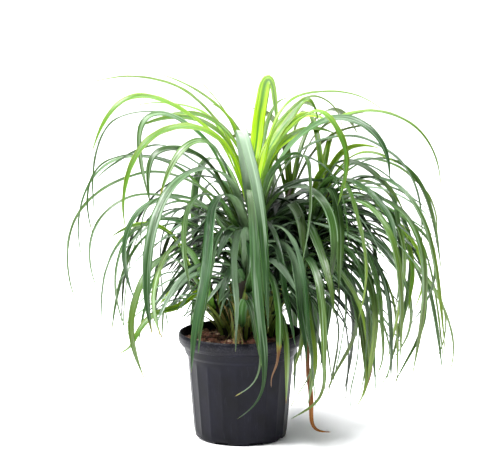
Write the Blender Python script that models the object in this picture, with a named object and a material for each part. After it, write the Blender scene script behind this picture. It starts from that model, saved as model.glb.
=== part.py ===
"""Potted dragon tree: a black nursery pot filled with bark, and four leafy stems of long arching strap
leaves.

Run it with Blender 4.5. Units are metres once a mesh is made, and the sizes below are millimetres. +Z is
up, the origin is the centre of the pot's flat underside, and the plant's front faces -Y.
"""

import random

import bmesh
import bpy
import numpy as np
from mathutils.bvhtree import BVHTree

MM = 0.001
SEED = 7
GAP = 0.3

# Pot: outer and inner outlines as (radius, height), from the underside up
POT_SIDES = 42
POT_OUTER = [(89, 0), (93.5, 4), (95.7, 16), (108.6, 163), (109.3, 171), (114, 177), (118, 191.5),
             (122, 193), (127, 200), (128.8, 208), (128.3, 215), (125.8, 219.5)]
POT_INNER = [(123.3, 219.5), (121, 201), (115, 191), (106.4, 171), (90.5, 4)]
FLUTES = 21
FLUTE_DEPTH = 1.3
FLUTED_HEIGHTS = (15, 165)
NOTCHES = 8
NOTCH_WIDTH, NOTCH_FROM, NOTCH_TO = 28, 85, 102
NOTCH_HEIGHTS = (-2, 6)
FIRST_NOTCH = -115

# Soil: how high it lies, how much the middle stands up, how rough the bark chips lie, how far its edge
# lies below its top, and the rings of its top as shares of the radius. It lies SOIL_GAP off the pot's
# wall, whose facets are flat.
SOIL_TOP = 203
SOIL_CROWN = 5
SOIL_ROUGHNESS = 3.2
SOIL_EDGE_DROP = 4
SOIL_RINGS = (0.22, 0.45, 0.67, 0.86)
SOIL_GAP = GAP + 0.15
HOLE_GAP = GAP + 0.1

# Stems: foot on the soil, top of the old wood, radii there. All stand 58 mm deep in the soil, and lean
# above it only
STEM_SIDES = 10
STEM_RINGS = 7
STEM_DEPTH = 58
LEAN_EASE = 1.3
LEAN_FROM = SOIL_TOP + 10
BUD_HEIGHT = 74
BUD_HEIGHTS = (0, 0.35, 0.7, 1)
BUD_RADII = (0.65, 0.6, 0.42, 0.15)
STEMS = {
    "main": {"foot": (-1, -20), "top": (26, -16, 446), "radii": (19, 12)},
    "right": {"foot": (54, 24), "top": (144, 12, 440), "radii": (17, 10)},
    "left": {"foot": (-28, 26), "top": (-68, 12, 288), "radii": (16, 9)},
    "back": {"foot": (24, 64), "top": (88, 108, 448), "radii": (16, 10)},
}

# Leaves: where along its length a leaf has a ring, how deep its keel and how wide its blade is along
# it, how late its roll comes, where along it the way that it reaches out is read, and the shares that
# the dead leaf may have lost at its root, tried from the smallest so that it hangs against its stem
LEAF_RINGS = (0.0, 0.09, 0.20, 0.32, 0.45, 0.58, 0.71, 0.84)
FILL_RINGS = (0.0, 0.13, 0.30, 0.47, 0.64, 0.82)
SHEATH_RINGS = (0.0, 0.2, 0.5, 0.8)
STATIONS = 60
KEEL_SHARES, KEEL_DEPTHS = (0, 0.08, 0.3, 1), (4.2, 2.4, 1.7, 1.0)
WIDTH_SHARES, WIDTH_PARTS = (0, 0.1, 0.4), (0.5, 0.8, 1)
POINT_FROM, POINT_EASE = 0.52, 1.7
ROLL_EASE = 1.5
REACH_SHARE = 0.7
DEPTH_EASE = 1.7
SMOOTHINGS = 6
DEAD_LOST = np.arange(0, 0.12, 0.001)

# How a leaf finds room: it keeps CLEAR of the rest and above LOWEST, its first ROOT_SHARE may cross its
# neighbours, and it is rooted at ROOT_OFF of its stem's radius. It tries being swung about its root by
# degrees, or other depths of its tip and bulges of its route, which count BULGE_WEIGHT as much. Its
# test shape ends GUARD_TIP of a step later.
CLEAR = 0.6
LOWEST = 6
ROOT_SHARE = 0.2
ROOT_OFF = 0.75
TURNS = [0, 3, -3, 6, -6, 9, -9, 13, -13, 17, -17, 22, -22]
TIP_SHIFTS = [0, 20, -20, 40, -40, 60, -60, 85, -85, 110, -110, 140, -140]
BULGES = [0, 20, -20, 40, -40]
BULGE_WEIGHT = 1.5
GUARD_TIP = 0.1

# The eye that the front routes are read from looks down by the pitch. The routes give x and z as read
# off a sheet that stands square to the line of sight at the pot's axis: x is zero SEEN_AXIS left of the
# axis, z is SEEN_MIDDLE on the line of sight, and one read millimetre is SEEN_WIDE across or SEEN_TALL
# up the sheet.
EYE_BACK, EYE_HEIGHT = 4000, 1060
EYE_PITCH = np.radians(9.153)
SEEN_AXIS, SEEN_MIDDLE = 3, 416.4
SEEN_WIDE, SEEN_TALL = 0.9874, 0.9623

# How low the leaves placed by a rule may hang and how high they may reach, as (x, z) seen from the
# front. Behind the pot, past BEHIND_POT and within POT_HALF_SEEN of its axis, they may hang lower.
HEM = [(-360, 290), (-300, 270), (-215, 130), (-185, 180), (-120, 215), (-100, 240), (50, 240),
       (65, 90), (110, 40), (170, 60), (260, 75), (330, 100), (440, 120)]
CROWN = [(-350, 440), (-300, 560), (-230, 640), (-120, 700), (60, 730), (160, 715), (270, 690), (350, 620),
         (395, 520), (415, 380), (430, 240)]
BEHIND_POT = 60
POT_HALF_SEEN = 100

# Leaves that shape the plant's outline and front. Each has its stem and age, its width, the height of
# its root, how far its tip lies behind (+) or before (-) the pot's axis, and its route as seen from the
# front.
FRONT_LEAVES = [
    ("main", "young", 26, 470, 110,
     [(30, 585), (34, 605), (40, 664), (47, 707), (54, 747), (59, 757), (66, 750), (70, 730), (74, 695),
      (80, 640)]),
    ("main", "young", 24, 480, 75,
     [(58, 600), (86, 638), (112, 663), (137, 677), (165, 672), (190, 655)]),
    ("main", "young", 14, 462, 120,
     [(46, 603), (65, 678), (84, 707), (105, 712)]),
    ("main", "young", 20, 476, 40,
     [(53, 584), (84, 641), (112, 678), (140, 713), (152, 700), (165, 658)]),
    ("main", "young", 26, 458, -165,
     [(-20, 598), (-50, 632), (-85, 648), (-120, 652), (-150, 645), (-180, 630), (-213, 590),
      (-230, 550), (-240, 480), (-235, 430)]),
    ("main", "young", 13, 474, 70,
     [(-18, 615), (-45, 660), (-80, 700), (-120, 732), (-180, 752), (-240, 757), (-303, 746)]),
    ("main", "young", 12, 466, 20,
     [(-7, 640), (-30, 680), (-80, 722), (-120, 745), (-162, 762)]),
    ("main", "young", 11, 482, 130,
     [(-8, 635), (-28, 680), (-55, 718), (-78, 745)]),
    ("main", "young", 20, 468, -50,
     [(-40, 620), (-85, 662), (-120, 687), (-160, 707), (-200, 717), (-230, 712), (-255, 695),
      (-285, 650), (-305, 595)]),
    ("main", "young", 12, 484, 100,
     [(-45, 652), (-65, 675), (-100, 692), (-160, 701), (-200, 699), (-230, 690)]),
    ("main", "mature", 22, 436, -235,
     [(2, 655), (14, 612), (30, 550), (44, 470), (52, 380), (57, 290), (60, 215)]),
    ("main", "mature", 17, 432, 25,
     [(-40, 590), (-80, 635), (-120, 665), (-160, 682), (-210, 682), (-262, 665), (-283, 635),
      (-297, 590), (-303, 530), (-299, 455)]),
    ("main", "mature", 20, 430, -100,
     [(-60, 610), (-100, 650), (-150, 678), (-185, 677), (-203, 655), (-207, 620), (-200, 560),
      (-185, 490)]),
    ("main", "mature", 20, 420, -125,
     [(-60, 568), (-100, 598), (-155, 604), (-178, 590), (-188, 555), (-185, 490)]),
    ("main", "mature", 22, 426, -165,
     [(-45, 600), (-75, 622), (-98, 618), (-125, 593), (-150, 545), (-166, 495)]),
    ("main", "mature", 20, 404, 95,
     [(-50, 545), (-80, 568), (-120, 595), (-155, 612), (-200, 605), (-240, 583), (-280, 556),
      (-298, 536)]),
    ("main", "mature", 17, 410, -15,
     [(-60, 530), (-120, 570), (-160, 584), (-205, 591), (-250, 588), (-285, 572), (-305, 545),
      (-314, 500), (-310, 450), (-300, 412)]),
    ("main", "mature", 15, 396, 45,
     [(-50, 500), (-120, 543), (-180, 556), (-228, 544), (-275, 523), (-318, 487), (-343, 447),
      (-354, 400), (-354, 350), (-345, 300), (-330, 262)]),
    ("main", "mature", 11, 380, -60,
     [(-70, 470), (-160, 504), (-205, 507), (-245, 493), (-285, 460), (-306, 415), (-309, 370),
      (-300, 322), (-285, 288)]),
    ("main", "mature", 12, 400, 135,
     [(-120, 560), (-200, 588), (-265, 577), (-303, 542), (-325, 492), (-333, 430), (-322, 348)]),
    ("main", "mature", 20, 390, -95,
     [(-60, 478), (-110, 500), (-165, 496), (-205, 474), (-231, 430), (-238, 375), (-230, 325),
      (-214, 278)]),
    ("main", "mature", 20, 365, -150,
     [(-60, 470), (-120, 505), (-165, 502), (-192, 478), (-204, 430), (-196, 362)]),
    ("main", "mature", 18, 372, 70,
     [(-60, 440), (-120, 478), (-175, 460), (-207, 430), (-227, 390), (-232, 355), (-229, 322)]),
    ("main", "mature", 13, 350, -45,
     [(-60, 425), (-140, 458), (-195, 443), (-232, 415), (-251, 365), (-256, 320), (-248, 260),
      (-228, 206)]),
    ("main", "mature", 20, 340, 35,
     [(-80, 425), (-150, 455), (-205, 440), (-250, 400), (-274, 350), (-284, 290), (-284, 228)]),
    ("main", "mature", 26, 428, -235,
     [(-25, 545), (-60, 563), (-95, 558), (-130, 535), (-160, 490), (-180, 430), (-190, 360),
      (-190, 270), (-178, 200)]),
    ("main", "mature", 26, 412, -265,
     [(-12, 500), (-33, 511), (-52, 490), (-62, 430), (-66, 370), (-74, 310), (-86, 250), (-95, 190),
      (-99, 128)]),
    ("main", "young", 14, 456, -150,
     [(-48, 548), (-79, 565), (-104, 558), (-115, 533), (-119, 484), (-121, 420), (-125, 342)]),
    ("main", "mature", 20, 396, -215,
     [(-45, 500), (-75, 508), (-98, 492), (-110, 460), (-114, 410), (-110, 355), (-100, 304)]),
    ("main", "mature", 22, 362, -205,
     [(-10, 430), (-28, 437), (-48, 410), (-63, 330), (-77, 240), (-85, 168)]),
    ("main", "mature", 24, 340, -178,
     [(12, 420), (2, 440), (-8, 395), (-10, 350), (-4, 270), (-8, 172)]),
    ("main", "mature", 20, 420, -250,
     [(26, 500), (22, 530), (27, 480), (32, 400), (36, 320), (43, 240), (52, 160), (49, 90), (30, 56),
      (-5, 30)]),
    ("main", "mature", 20, 330, -200,
     [(30, 410), (36, 385), (40, 300), (43, 200), (42, 135), (27, 102), (-10, 78)]),
    ("main", "mature", 20, 290, -175,
     [(30, 345), (44, 357), (62, 342), (76, 295), (82, 240), (81, 180), (76, 140), (65, 120),
      (66, 97)]),
    ("main", "mature", 22, 232, -178,
     [(8, 268), (15, 286), (27, 262), (38, 200), (47, 140)]),
    ("main", "mature", 22, 400, -215,
     [(36, 432), (62, 443), (92, 434), (115, 400), (129, 350), (137, 290), (141, 230), (150, 165),
      (150, 105)]),
    ("main", "mature", 21, 372, -190,
     [(44, 396), (70, 409), (94, 402), (112, 368), (121, 320), (127, 260), (136, 190), (139, 150)]),
    ("main", "mature", 20, 350, -135,
     [(50, 395), (72, 400), (84, 362), (92, 310), (101, 262), (116, 185)]),
    ("main", "mature", 22, 426, -130,
     [(60, 535), (90, 573), (128, 590), (165, 575), (195, 545), (212, 505), (222, 450), (226, 390)]),
    ("main", "mature", 23, 424, -205,
     [(70, 560), (110, 594), (137, 592), (145, 545), (147, 490), (142, 430), (130, 360)]),
    ("main", "young", 24, 462, -150,
     [(70, 600), (120, 660), (160, 688), (182, 676), (203, 645), (218, 610), (222, 570), (214, 525),
      (203, 480)]),
    ("main", "young", 14, 456, 30,
     [(70, 590), (130, 637), (199, 669), (238, 681), (276, 685), (321, 675), (365, 650), (394, 613),
      (411, 570), (418, 514)]),
    ("main", "young", 10, 478, 110,
     [(60, 620), (90, 690), (120, 715), (164, 724), (220, 723), (263, 709), (298, 685)]),
    ("main", "young", 12, 470, 65,
     [(70, 640), (110, 690), (148, 716), (177, 709), (205, 680), (215, 640)]),
    ("main", "mature", 24, 430, -75,
     [(90, 590), (150, 650), (205, 671), (249, 660), (280, 636), (298, 610), (307, 583), (312, 533)]),
    ("main", "mature", 12, 408, 15,
     [(90, 560), (140, 610), (190, 628), (249, 630), (292, 609), (328, 584), (351, 554), (369, 510),
      (377, 450), (377, 376)]),
    ("right", "mature", 14, 425, 85,
     [(190, 540), (240, 580), (290, 580), (335, 562), (362, 538), (387, 512), (405, 470), (409, 430),
      (404, 390)]),
    ("right", "mature", 20, 422, -45,
     [(178, 540), (208, 578), (249, 571), (292, 539), (321, 505), (341, 468)]),
    ("right", "mature", 16, 352, -25,
     [(220, 420), (290, 422), (340, 378), (390, 322), (420, 270), (438, 217), (443, 172), (432, 113)]),
    ("right", "mature", 15, 400, -60,
     [(200, 480), (250, 500), (300, 482), (345, 453), (380, 424), (400, 395), (405, 355), (399, 310),
      (376, 262), (350, 225)]),
    ("right", "mature", 18, 344, 40,
     [(220, 410), (280, 438), (330, 402), (365, 350), (383, 300), (383, 250), (371, 205), (345, 155),
      (316, 98)]),
    ("right", "mature", 12, 360, 115,
     [(230, 440), (300, 425), (350, 375), (395, 320), (418, 280), (427, 240), (424, 205), (415, 172),
      (394, 142)]),
    ("right", "mature", 16, 336, -125,
     [(190, 385), (225, 370), (258, 320), (285, 265), (303, 212), (313, 165), (309, 130), (296, 105),
      (268, 81)]),
    ("right", "mature", 17, 366, -45,
     [(210, 430), (270, 422), (320, 370), (345, 312), (355, 258), (351, 220), (338, 188), (316, 156)]),
    ("right", "mature", 23, 410, -175,
     [(190, 448), (225, 435), (256, 395), (279, 340), (290, 280), (294, 225), (297, 170), (292, 140),
      (278, 113)]),
    ("right", "mature", 19, 420, -115,
     [(195, 510), (240, 545), (285, 540), (315, 510), (327, 450), (333, 385), (331, 320), (322, 262)]),
    ("right", "mature", 21, 416, -135,
     [(182, 515), (220, 540), (258, 520), (290, 490), (312, 455), (321, 410), (322, 355)]),
    ("right", "mature", 23, 416, -160,
     [(170, 520), (200, 548), (225, 520), (243, 460), (257, 400), (262, 340), (257, 290), (246, 240)]),
    ("right", "mature", 22, 404, -155,
     [(165, 500), (186, 525), (200, 490), (208, 430), (207, 360), (205, 300)]),
    ("right", "mature", 21, 345, -165,
     [(160, 382), (182, 368), (213, 336), (238, 295), (254, 250), (262, 195)]),
    ("right", "mature", 21, 396, -195,
     [(136, 455), (146, 440), (164, 396), (179, 350), (190, 300), (196, 245)]),
    ("right", "mature", 20, 420, -105,
     [(125, 480), (104, 490), (117, 476), (127, 450), (131, 415), (133, 375)]),
    ("right", "mature", 18, 322, -120,
     [(132, 350), (134, 330), (141, 260), (150, 200), (155, 155), (149, 105), (142, 62)]),
    ("right", "mature", 17, 310, -30,
     [(140, 300), (152, 240), (165, 190), (172, 155), (175, 110), (163, 72), (145, 55), (106, 30)]),
    ("right", "mature", 14, 318, -65,
     [(215, 330), (242, 270), (240, 220), (228, 185), (212, 155), (196, 125), (178, 85)]),
    ("right", "mature", 18, 330, -90,
     [(200, 370), (236, 320), (246, 250), (247, 190), (240, 135), (229, 90), (230, 52)]),
    ("right", "mature", 18, 324, -130,
     [(195, 350), (232, 300), (250, 230), (258, 170), (262, 120), (256, 82), (242, 56)]),
    ("right", "mature", 16, 316, -75,
     [(120, 310), (125, 260), (130, 210), (124, 175), (116, 150), (111, 122)]),
    ("right", "mature", 15, 314, -50,
     [(155, 300), (163, 240), (155, 170), (141, 115), (123, 86), (106, 56)]),
    ("right", "mature", 17, 328, -20,
     [(205, 350), (235, 300), (258, 240), (268, 180), (272, 130), (258, 82)]),
    ("right", "young", 17, 456, -80,
     [(200, 500), (250, 510), (300, 468), (335, 430), (350, 395), (358, 345), (354, 300), (348, 255)]),
    ("right", "young", 15, 462, -10,
     [(205, 520), (270, 510), (325, 450), (357, 408), (375, 370), (380, 335), (374, 295), (358, 255)]),
    ("right", "young", 20, 470, -30,
     [(160, 530), (176, 560), (200, 568), (228, 545)]),
    ("left", "mature", 21, 262, -190,
     [(-95, 375), (-125, 402), (-150, 380), (-168, 335), (-178, 280), (-168, 225), (-156, 192)]),
    ("left", "mature", 19, 256, -130,
     [(-110, 350), (-150, 378), (-188, 345), (-213, 288), (-224, 230), (-216, 172), (-195, 113)]),
    ("left", "young", 17, 300, -65,
     [(-76, 306), (-90, 297), (-109, 280), (-133, 265), (-160, 259), (-182, 248), (-208, 216), (-224, 184),
      (-253, 166)]),
    ("left", "young", 14, 306, 30,
     [(-90, 335), (-120, 320), (-148, 292), (-168, 270)]),
]

# How far (degrees) these leaves are rolled at their roots and at their tips, each named by the first point of
# its route, so that they look as wide as in the front view. The others are not rolled at their roots, and
# their rolls at their tips are drawn.
ROOT_ROLLS = {(-20, 598): -75, (58, 600): 70, (53, 584): 40, (-60, 568): -60, (-45, 600): -50, (-60, 610): -40,
              (90, 590): 40, (60, 535): 40, (70, 560): 35}
ROLLS = {
    (30, 585): 55, (58, 600): 15, (53, 584): 30, (-20, 598): -20, (-18, 615): -15, (-7, 640): -15,
    (-8, 635): 75, (-40, 620): -55, (-45, 652): 10, (2, 655): 0, (-60, 610): -50, (-60, 568): -58,
    (-45, 600): -60, (-50, 545): 30, (-60, 530): 20, (-50, 500): -55, (-70, 470): -45, (-120, 560): -60,
    (-60, 478): -45, (-60, 425): -42, (-80, 425): -35, (-40, 590): 12, (-25, 545): -45, (-12, 500): -30,
    (26, 500): 0, (70, 600): 40, (70, 590): 38, (60, 620): 15, (70, 640): 20, (90, 590): 55, (90, 560): 45,
    (190, 540): 45, (178, 540): 55, (220, 420): 28, (200, 480): 32, (230, 440): 65, (195, 510): 40,
    (200, 500): 55, (182, 515): 35, (210, 430): 35, (-95, 375): 0, (-110, 350): -50,
    (-48, 548): 20, (-45, 500): -20,
}

# The dry leaf beside the pot: it hangs from the right stem and its tip lies by the floor
DEAD_LEAF = ("right", "dead", 15, 285, 5,
             [(120, 295), (136, 260), (139, 195), (141, 130), (147, 85), (148, 45), (149, 20), (158, 6),
              (190, 3)])

# Leaves placed by a rule, for each stem: how many, the heights of their roots, the compass sector that
# they fill (degrees, 0 is +X and 90 is +Y, away from the front), their length and their width
FILL = [
    ("main", "mature", 24, (300, 428), (-50, 235), (380, 580), (16, 21)),
    ("main", "young", 6, (475, 500), (20, 200), (280, 400), (14, 18)),
    ("right", "mature", 18, (250, 410), (-75, 115), (440, 640), (12, 17)),
    ("right", "mature", 10, (340, 425), (-50, 40), (520, 640), (13, 18)),
    ("right", "young", 4, (466, 490), (-60, 200), (200, 380), (12, 16)),
    ("left", "mature", 11, (240, 278), (85, 250), (230, 430), (16, 21)),
    ("left", "young", 3, (308, 328), (60, 240), (180, 300), (12, 15)),
    ("back", "mature", 22, (260, 430), (-30, 200), (400, 600), (15, 20)),
    ("back", "young", 6, (475, 505), (0, 180), (240, 360), (14, 18)),
]
GOLDEN_ANGLE = 137.508

# How such a leaf grows: the angle at which it rises, the angle to which it falls, the share of its
# length where it bends and how softly. Each is a value, its change up the stem, and the span of a draw
# that is added.
HABITS = {
    "mature": {"rise": (28, 40, (-8, 8)), "fall": (-84, 0, (-22, 6)), "bend": (0.30, 0.10, (-0.05, 0.05)),
               "softness": (0.10, 0, (0, 0.05))},
    "young": {"rise": (74, 0, (-8, 6)), "fall": (10, 0, (-70, 0)), "bend": (0.6, 0, (0, 0)),
              "softness": (0.16, 0, (0, 0))},
}
SHORTER = (1.0, 0.85, 0.7, 0.58, 0.48)

# Spans that the blades' roll and sway (degrees) are drawn from. A leaf that hangs at the side rolls
# more than one that reaches toward or away from the front.
FILL_ROLL, FILL_SWAY = (-35, 35), (-22, 22)
SIDE_ROLL, FACING_ROLL, FACING_DEPTH = (10, 60), (0, 30), 200

# Clasping leaf bases on the old wood: how many, where, which way, and how they rise, fall, bend and
# soften
SHEATHS = {"main": 7, "right": 5, "left": 4, "back": 4}
SHEATH_LOWEST, SHEATH_BELOW_TOP = SOIL_TOP + 12, 58
SHEATH_LENGTH, SHEATH_WIDTHS, SHEATH_HEADING = 62, (24, 20), 40
SHEATH_HABIT = (84, 66, 0.5, 0.2)


def clear_the_scene():
    """Start from nothing, whatever the file held."""
    for thing in list(bpy.data.objects):
        bpy.data.objects.remove(thing, do_unlink=True)


def material(name, colour, roughness):
    """A plain Principled finish."""
    made = bpy.data.materials.new(name)
    made.use_nodes = True
    shader = made.node_tree.nodes["Principled BSDF"]
    shader.inputs["Base Color"].default_value = (*colour, 1)
    shader.inputs["Roughness"].default_value = roughness
    shader.inputs["Metallic"].default_value = 0
    return made


def new_object(name, points, faces, finish=None, collection=None):
    """An object from points in millimetres and its faces."""
    mesh = bpy.data.meshes.new(name)
    mesh.from_pydata((np.asarray(points, float) * MM).tolist(), [], faces)
    if finish:
        mesh.materials.append(finish)
    thing = bpy.data.objects.new(name, mesh)
    (collection or bpy.context.scene.collection).objects.link(thing)
    return thing


def turned(rows, sides, wobble=None, crown=0):
    """Points and faces of a solid turned about +Z. rows are its rings' (radius, height) from the lowest
    to the last, and wobble(row, angles) gives each point's (radius, height) change. Each end closes on
    a point on the axis, the last one raised by the crown."""
    angles = np.arange(sides) * 2 * np.pi / sides
    points = []
    for number, (radius, height) in enumerate(rows):
        change = wobble(number, angles) if wobble else (0, 0)
        radii = radius + change[0] + 0 * angles
        heights = height + change[1] + 0 * angles
        points.extend(zip(radii * np.cos(angles), radii * np.sin(angles), heights))
    faces = []
    for low in range(0, (len(rows) - 1) * sides, sides):
        for j in range(sides):
            k = (j + 1) % sides
            faces.append((low + j, low + k, low + sides + k, low + sides + j))
    first, last = len(points), len(points) + 1
    points.append((0, 0, rows[0][1]))
    points.append((0, 0, rows[-1][1] + crown))
    top = (len(rows) - 1) * sides
    for j in range(sides):
        k = (j + 1) % sides
        faces.append((first, k, j))
        faces.append((last, top + j, top + k))
    return points, faces


def flute_wobble(row, angles):
    """The outer wall is drawn in between its ribs, along the fluted heights only."""
    low, high = FLUTED_HEIGHTS
    on_outside = row < len(POT_OUTER)
    fluted = on_outside and low < POT_OUTER[row][1] < high
    ribs = np.arange(len(angles)) % (len(angles) // FLUTES) == 1
    return (-FLUTE_DEPTH * fluted * ~ribs, 0)


def cut(thing, cutters):
    """Take the cutters out of a solid with Boolean differences, and remove them."""
    for cutter in cutters:
        tool = thing.modifiers.new(cutter.name, "BOOLEAN")
        tool.operation = "DIFFERENCE"
        tool.solver = "EXACT"
        tool.object = cutter
    apply_modifiers(thing)
    for cutter in cutters:
        bpy.data.objects.remove(cutter, do_unlink=True)


def apply_modifiers(thing):
    """Keep the shape that the modifiers make as the object's own mesh."""
    graph = bpy.context.evaluated_depsgraph_get()
    finished = bpy.data.meshes.new_from_object(thing.evaluated_get(graph))
    thing.modifiers.clear()
    thing.data = finished


def make_pot():
    """The moulded shell, with drainage notches cut through the foot of its wall."""
    finish = material("black_plastic", (0.022, 0.022, 0.026), 0.45)
    points, faces = turned(POT_OUTER + POT_INNER, POT_SIDES, flute_wobble)
    pot = new_object("pot", points, faces, finish)
    notches = []
    for number in range(NOTCHES):
        middle = np.radians(FIRST_NOTCH + number * 360 / NOTCHES)
        out = np.array([np.cos(middle), np.sin(middle), 0])
        along = np.array([-out[1], out[0], 0]) * NOTCH_WIDTH / 2
        corners = []
        for height in NOTCH_HEIGHTS:
            for reach in (NOTCH_FROM, NOTCH_TO):
                for side in (-1, 1):
                    corners.append(out * reach + along * side + (0, 0, height))
        box = [(0, 1, 3, 2), (4, 6, 7, 5), (0, 4, 5, 1), (2, 3, 7, 6), (0, 2, 6, 4), (1, 5, 7, 3)]
        notches.append(new_object(f"notch_{number}", corners, box))
    cut(pot, notches)
    return pot


def soil_rows():
    """The filling's outline: it follows the pot's inner wall a gap inside it, then runs in over the
    top."""
    edge = SOIL_TOP - SOIL_EDGE_DROP
    radii, heights = zip(*reversed(POT_INNER))
    wall = [(radius - SOIL_GAP, height) for radius, height in zip(radii, heights) if height < edge]
    wall[0] = (wall[0][0], wall[0][1] + GAP)
    wall.append((np.interp(edge, heights, radii) - SOIL_GAP, edge))
    return wall + [(wall[-1][0] * share, SOIL_TOP) for share in reversed(SOIL_RINGS)]


def soil_wobble(row, angles):
    """Bark chips: heights on the top go up and down by a seeded draw, and rise a little to the
    middle."""
    rings = len(SOIL_RINGS)
    first = len(soil_rows()) - rings
    if row < first:
        return (0, 0)
    draw = np.random.default_rng(SEED + row).uniform(-1, 1, len(angles))
    crown = SOIL_CROWN * (1 - SOIL_RINGS[rings - 1 - (row - first)])
    return (0, SOIL_ROUGHNESS * draw + crown)


def stem_centre(stem, height):
    """Where the stem's axis is at a height: upright in the soil, then a smooth lean to its top and
    beyond."""
    foot, top = STEMS[stem]["foot"], STEMS[stem]["top"]
    share = max(0.0, (height - LEAN_FROM) / (top[2] - LEAN_FROM)) ** LEAN_EASE
    return np.array([foot[0] + (top[0] - foot[0]) * share, foot[1] + (top[1] - foot[1]) * share, height])


def stem_radius(stem, height):
    """The stem's radius at a height: it narrows from the soil to the top of the old wood."""
    foot_radius, top_radius = STEMS[stem]["radii"]
    share = np.clip((height - LEAN_FROM) / (STEMS[stem]["top"][2] - LEAN_FROM), 0, 1)
    return foot_radius + (top_radius - foot_radius) * share


def core_radius(stem, height):
    """The radius of what a leaf is rooted in at a height: the stem, or above it the bud."""
    top = STEMS[stem]["top"][2]
    if height <= top:
        return stem_radius(stem, height)
    return STEMS[stem]["radii"][1] * np.interp((height - top) / BUD_HEIGHT, BUD_HEIGHTS, BUD_RADII)


def column(stem, heights, radii):
    """Points and faces of a closed column along the stem's axis."""
    rows = list(zip(radii, heights))
    points, faces = turned(rows, STEM_SIDES)
    points = np.array(points)
    for height in set(heights):
        level = np.isclose(points[:, 2], height)
        points[level, :2] += stem_centre(stem, height)[:2]
    return points, faces


def stem_column(stem):
    """The woody stem from its foot in the soil to the top of the old wood."""
    top = STEMS[stem]["top"][2]
    heights = [SOIL_TOP - STEM_DEPTH, *np.linspace(LEAN_FROM, top, STEM_RINGS)]
    return column(stem, heights, [stem_radius(stem, height) for height in heights])


def bud_column(stem):
    """The bud that the young leaves grow from, standing a gap above the old wood."""
    low = STEMS[stem]["top"][2] + GAP
    heights = [low + share * BUD_HEIGHT for share in BUD_HEIGHTS]
    return column(stem, heights, [STEMS[stem]["radii"][1] * share for share in BUD_RADII])


def make_soil():
    """The filling of bark and soil, with a plain hole for each stem."""
    finish = material("bark_chips", (0.11, 0.045, 0.025), 0.9)
    points, faces = turned(soil_rows(), POT_SIDES, soil_wobble, SOIL_CROWN)
    soil = new_object("soil", points, faces, finish)
    holes = []
    for stem in STEMS:
        wide = STEMS[stem]["radii"][0] + HOLE_GAP
        foot = [SOIL_TOP - STEM_DEPTH - GAP, LEAN_FROM]
        holes.append(new_object(f"hole_{stem}", *column(stem, foot, [wide, wide])))
    cut(soil, holes)
    return soil


def seen_at(x, z, depth):
    """The place at a depth behind the pot's axis that the eye sees at (x, z) on its sheet."""
    up = (z - SEEN_MIDDLE) * SEEN_TALL
    middle = EYE_HEIGHT - EYE_BACK * np.tan(EYE_PITCH)
    across = (x - SEEN_AXIS) * SEEN_WIDE
    sheet = np.stack([across, up * np.sin(EYE_PITCH), middle + up * np.cos(EYE_PITCH)], axis=-1)
    eye = np.array([0, -EYE_BACK, EYE_HEIGHT])
    share = (depth + EYE_BACK) / (sheet[:, 1] + EYE_BACK)
    return eye + (sheet - eye) * share[:, None]


def as_seen(points):
    """Where on its sheet the eye sees the points, as (x, z)."""
    x, y, z = (points - (0, -EYE_BACK, EYE_HEIGHT)).T
    ahead = y * np.cos(EYE_PITCH) - z * np.sin(EYE_PITCH)
    up = y * np.sin(EYE_PITCH) + z * np.cos(EYE_PITCH)
    share = EYE_BACK / np.cos(EYE_PITCH) / ahead
    return SEEN_AXIS + x * share / SEEN_WIDE, SEEN_MIDDLE + up * share / SEEN_TALL


def smooth(points, count):
    """An even polyline of count points on a smooth curve through the given ones: cubic pieces whose
    slopes come from their neighbours, with knots spaced by the square root of the distance."""
    points = np.asarray(points, float)
    knots = np.concatenate([[0], np.cumsum(np.linalg.norm(np.diff(points, axis=0), axis=1) ** 0.5)])
    slopes = np.gradient(points, knots, axis=0)
    at = np.linspace(0, knots[-1], count * 4)
    piece = np.clip(np.searchsorted(knots, at, side="right") - 1, 0, len(knots) - 2)
    step = (knots[piece + 1] - knots[piece])[:, None]
    u = (at - knots[piece])[:, None] / step
    start, end = points[piece], points[piece + 1]
    curve = ((2 * u**3 - 3 * u**2 + 1) * start + (u**3 - 2 * u**2 + u) * step * slopes[piece]
             + (3 * u**2 - 2 * u**3) * end + (u**3 - u**2) * step * slopes[piece + 1])
    return evenly(curve, np.linspace(0, 1, count))


def lengths(route):
    """The distance along a polyline to each of its points."""
    return np.concatenate([[0], np.cumsum(np.linalg.norm(np.diff(route, axis=0), axis=1))])


def evenly(route, shares):
    """Points at the given shares of a polyline's length."""
    along = lengths(route)
    at = np.asarray(shares) * along[-1]
    return np.stack([np.interp(at, along, route[:, i]) for i in range(3)], axis=-1)


def root_place(stem, height, heading):
    """Where a leaf's root lies: just under the stem's surface, on the side that the leaf heads for."""
    heading = np.asarray(heading, float)
    heading = heading / (np.linalg.norm(heading) + 1e-9)
    off = ROOT_OFF * heading * core_radius(stem, height)
    return stem_centre(stem, height) + (off[0], off[1], 0)


def front_route(stem, root_height, tip_depth, seen, bulge):
    """A leaf's route from the places where the front view shows it. Its depth eases from the stem to
    the tip, as a leaf does that arches out and then hangs, with a bulge on the way."""
    seen = np.array(seen, float)
    middle = stem_centre(stem, root_height)
    root = root_place(stem, root_height, (seen[len(seen) // 2, 0] - middle[0], tip_depth - middle[1]))
    flat = np.concatenate([np.transpose(as_seen(root[None])), seen])
    share = lengths(flat) / lengths(flat)[-1]
    eased = 1 - (1 - share) ** DEPTH_EASE
    depth = root[1] + (tip_depth - root[1]) * eased + bulge * np.sin(np.pi * share)
    route = smooth(seen_at(flat[:, 0], flat[:, 1], depth), STATIONS)
    for _ in range(SMOOTHINGS):
        route[1:-1] = (route[:-2] + 2 * route[1:-1] + route[2:]) / 4
    return route


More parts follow.
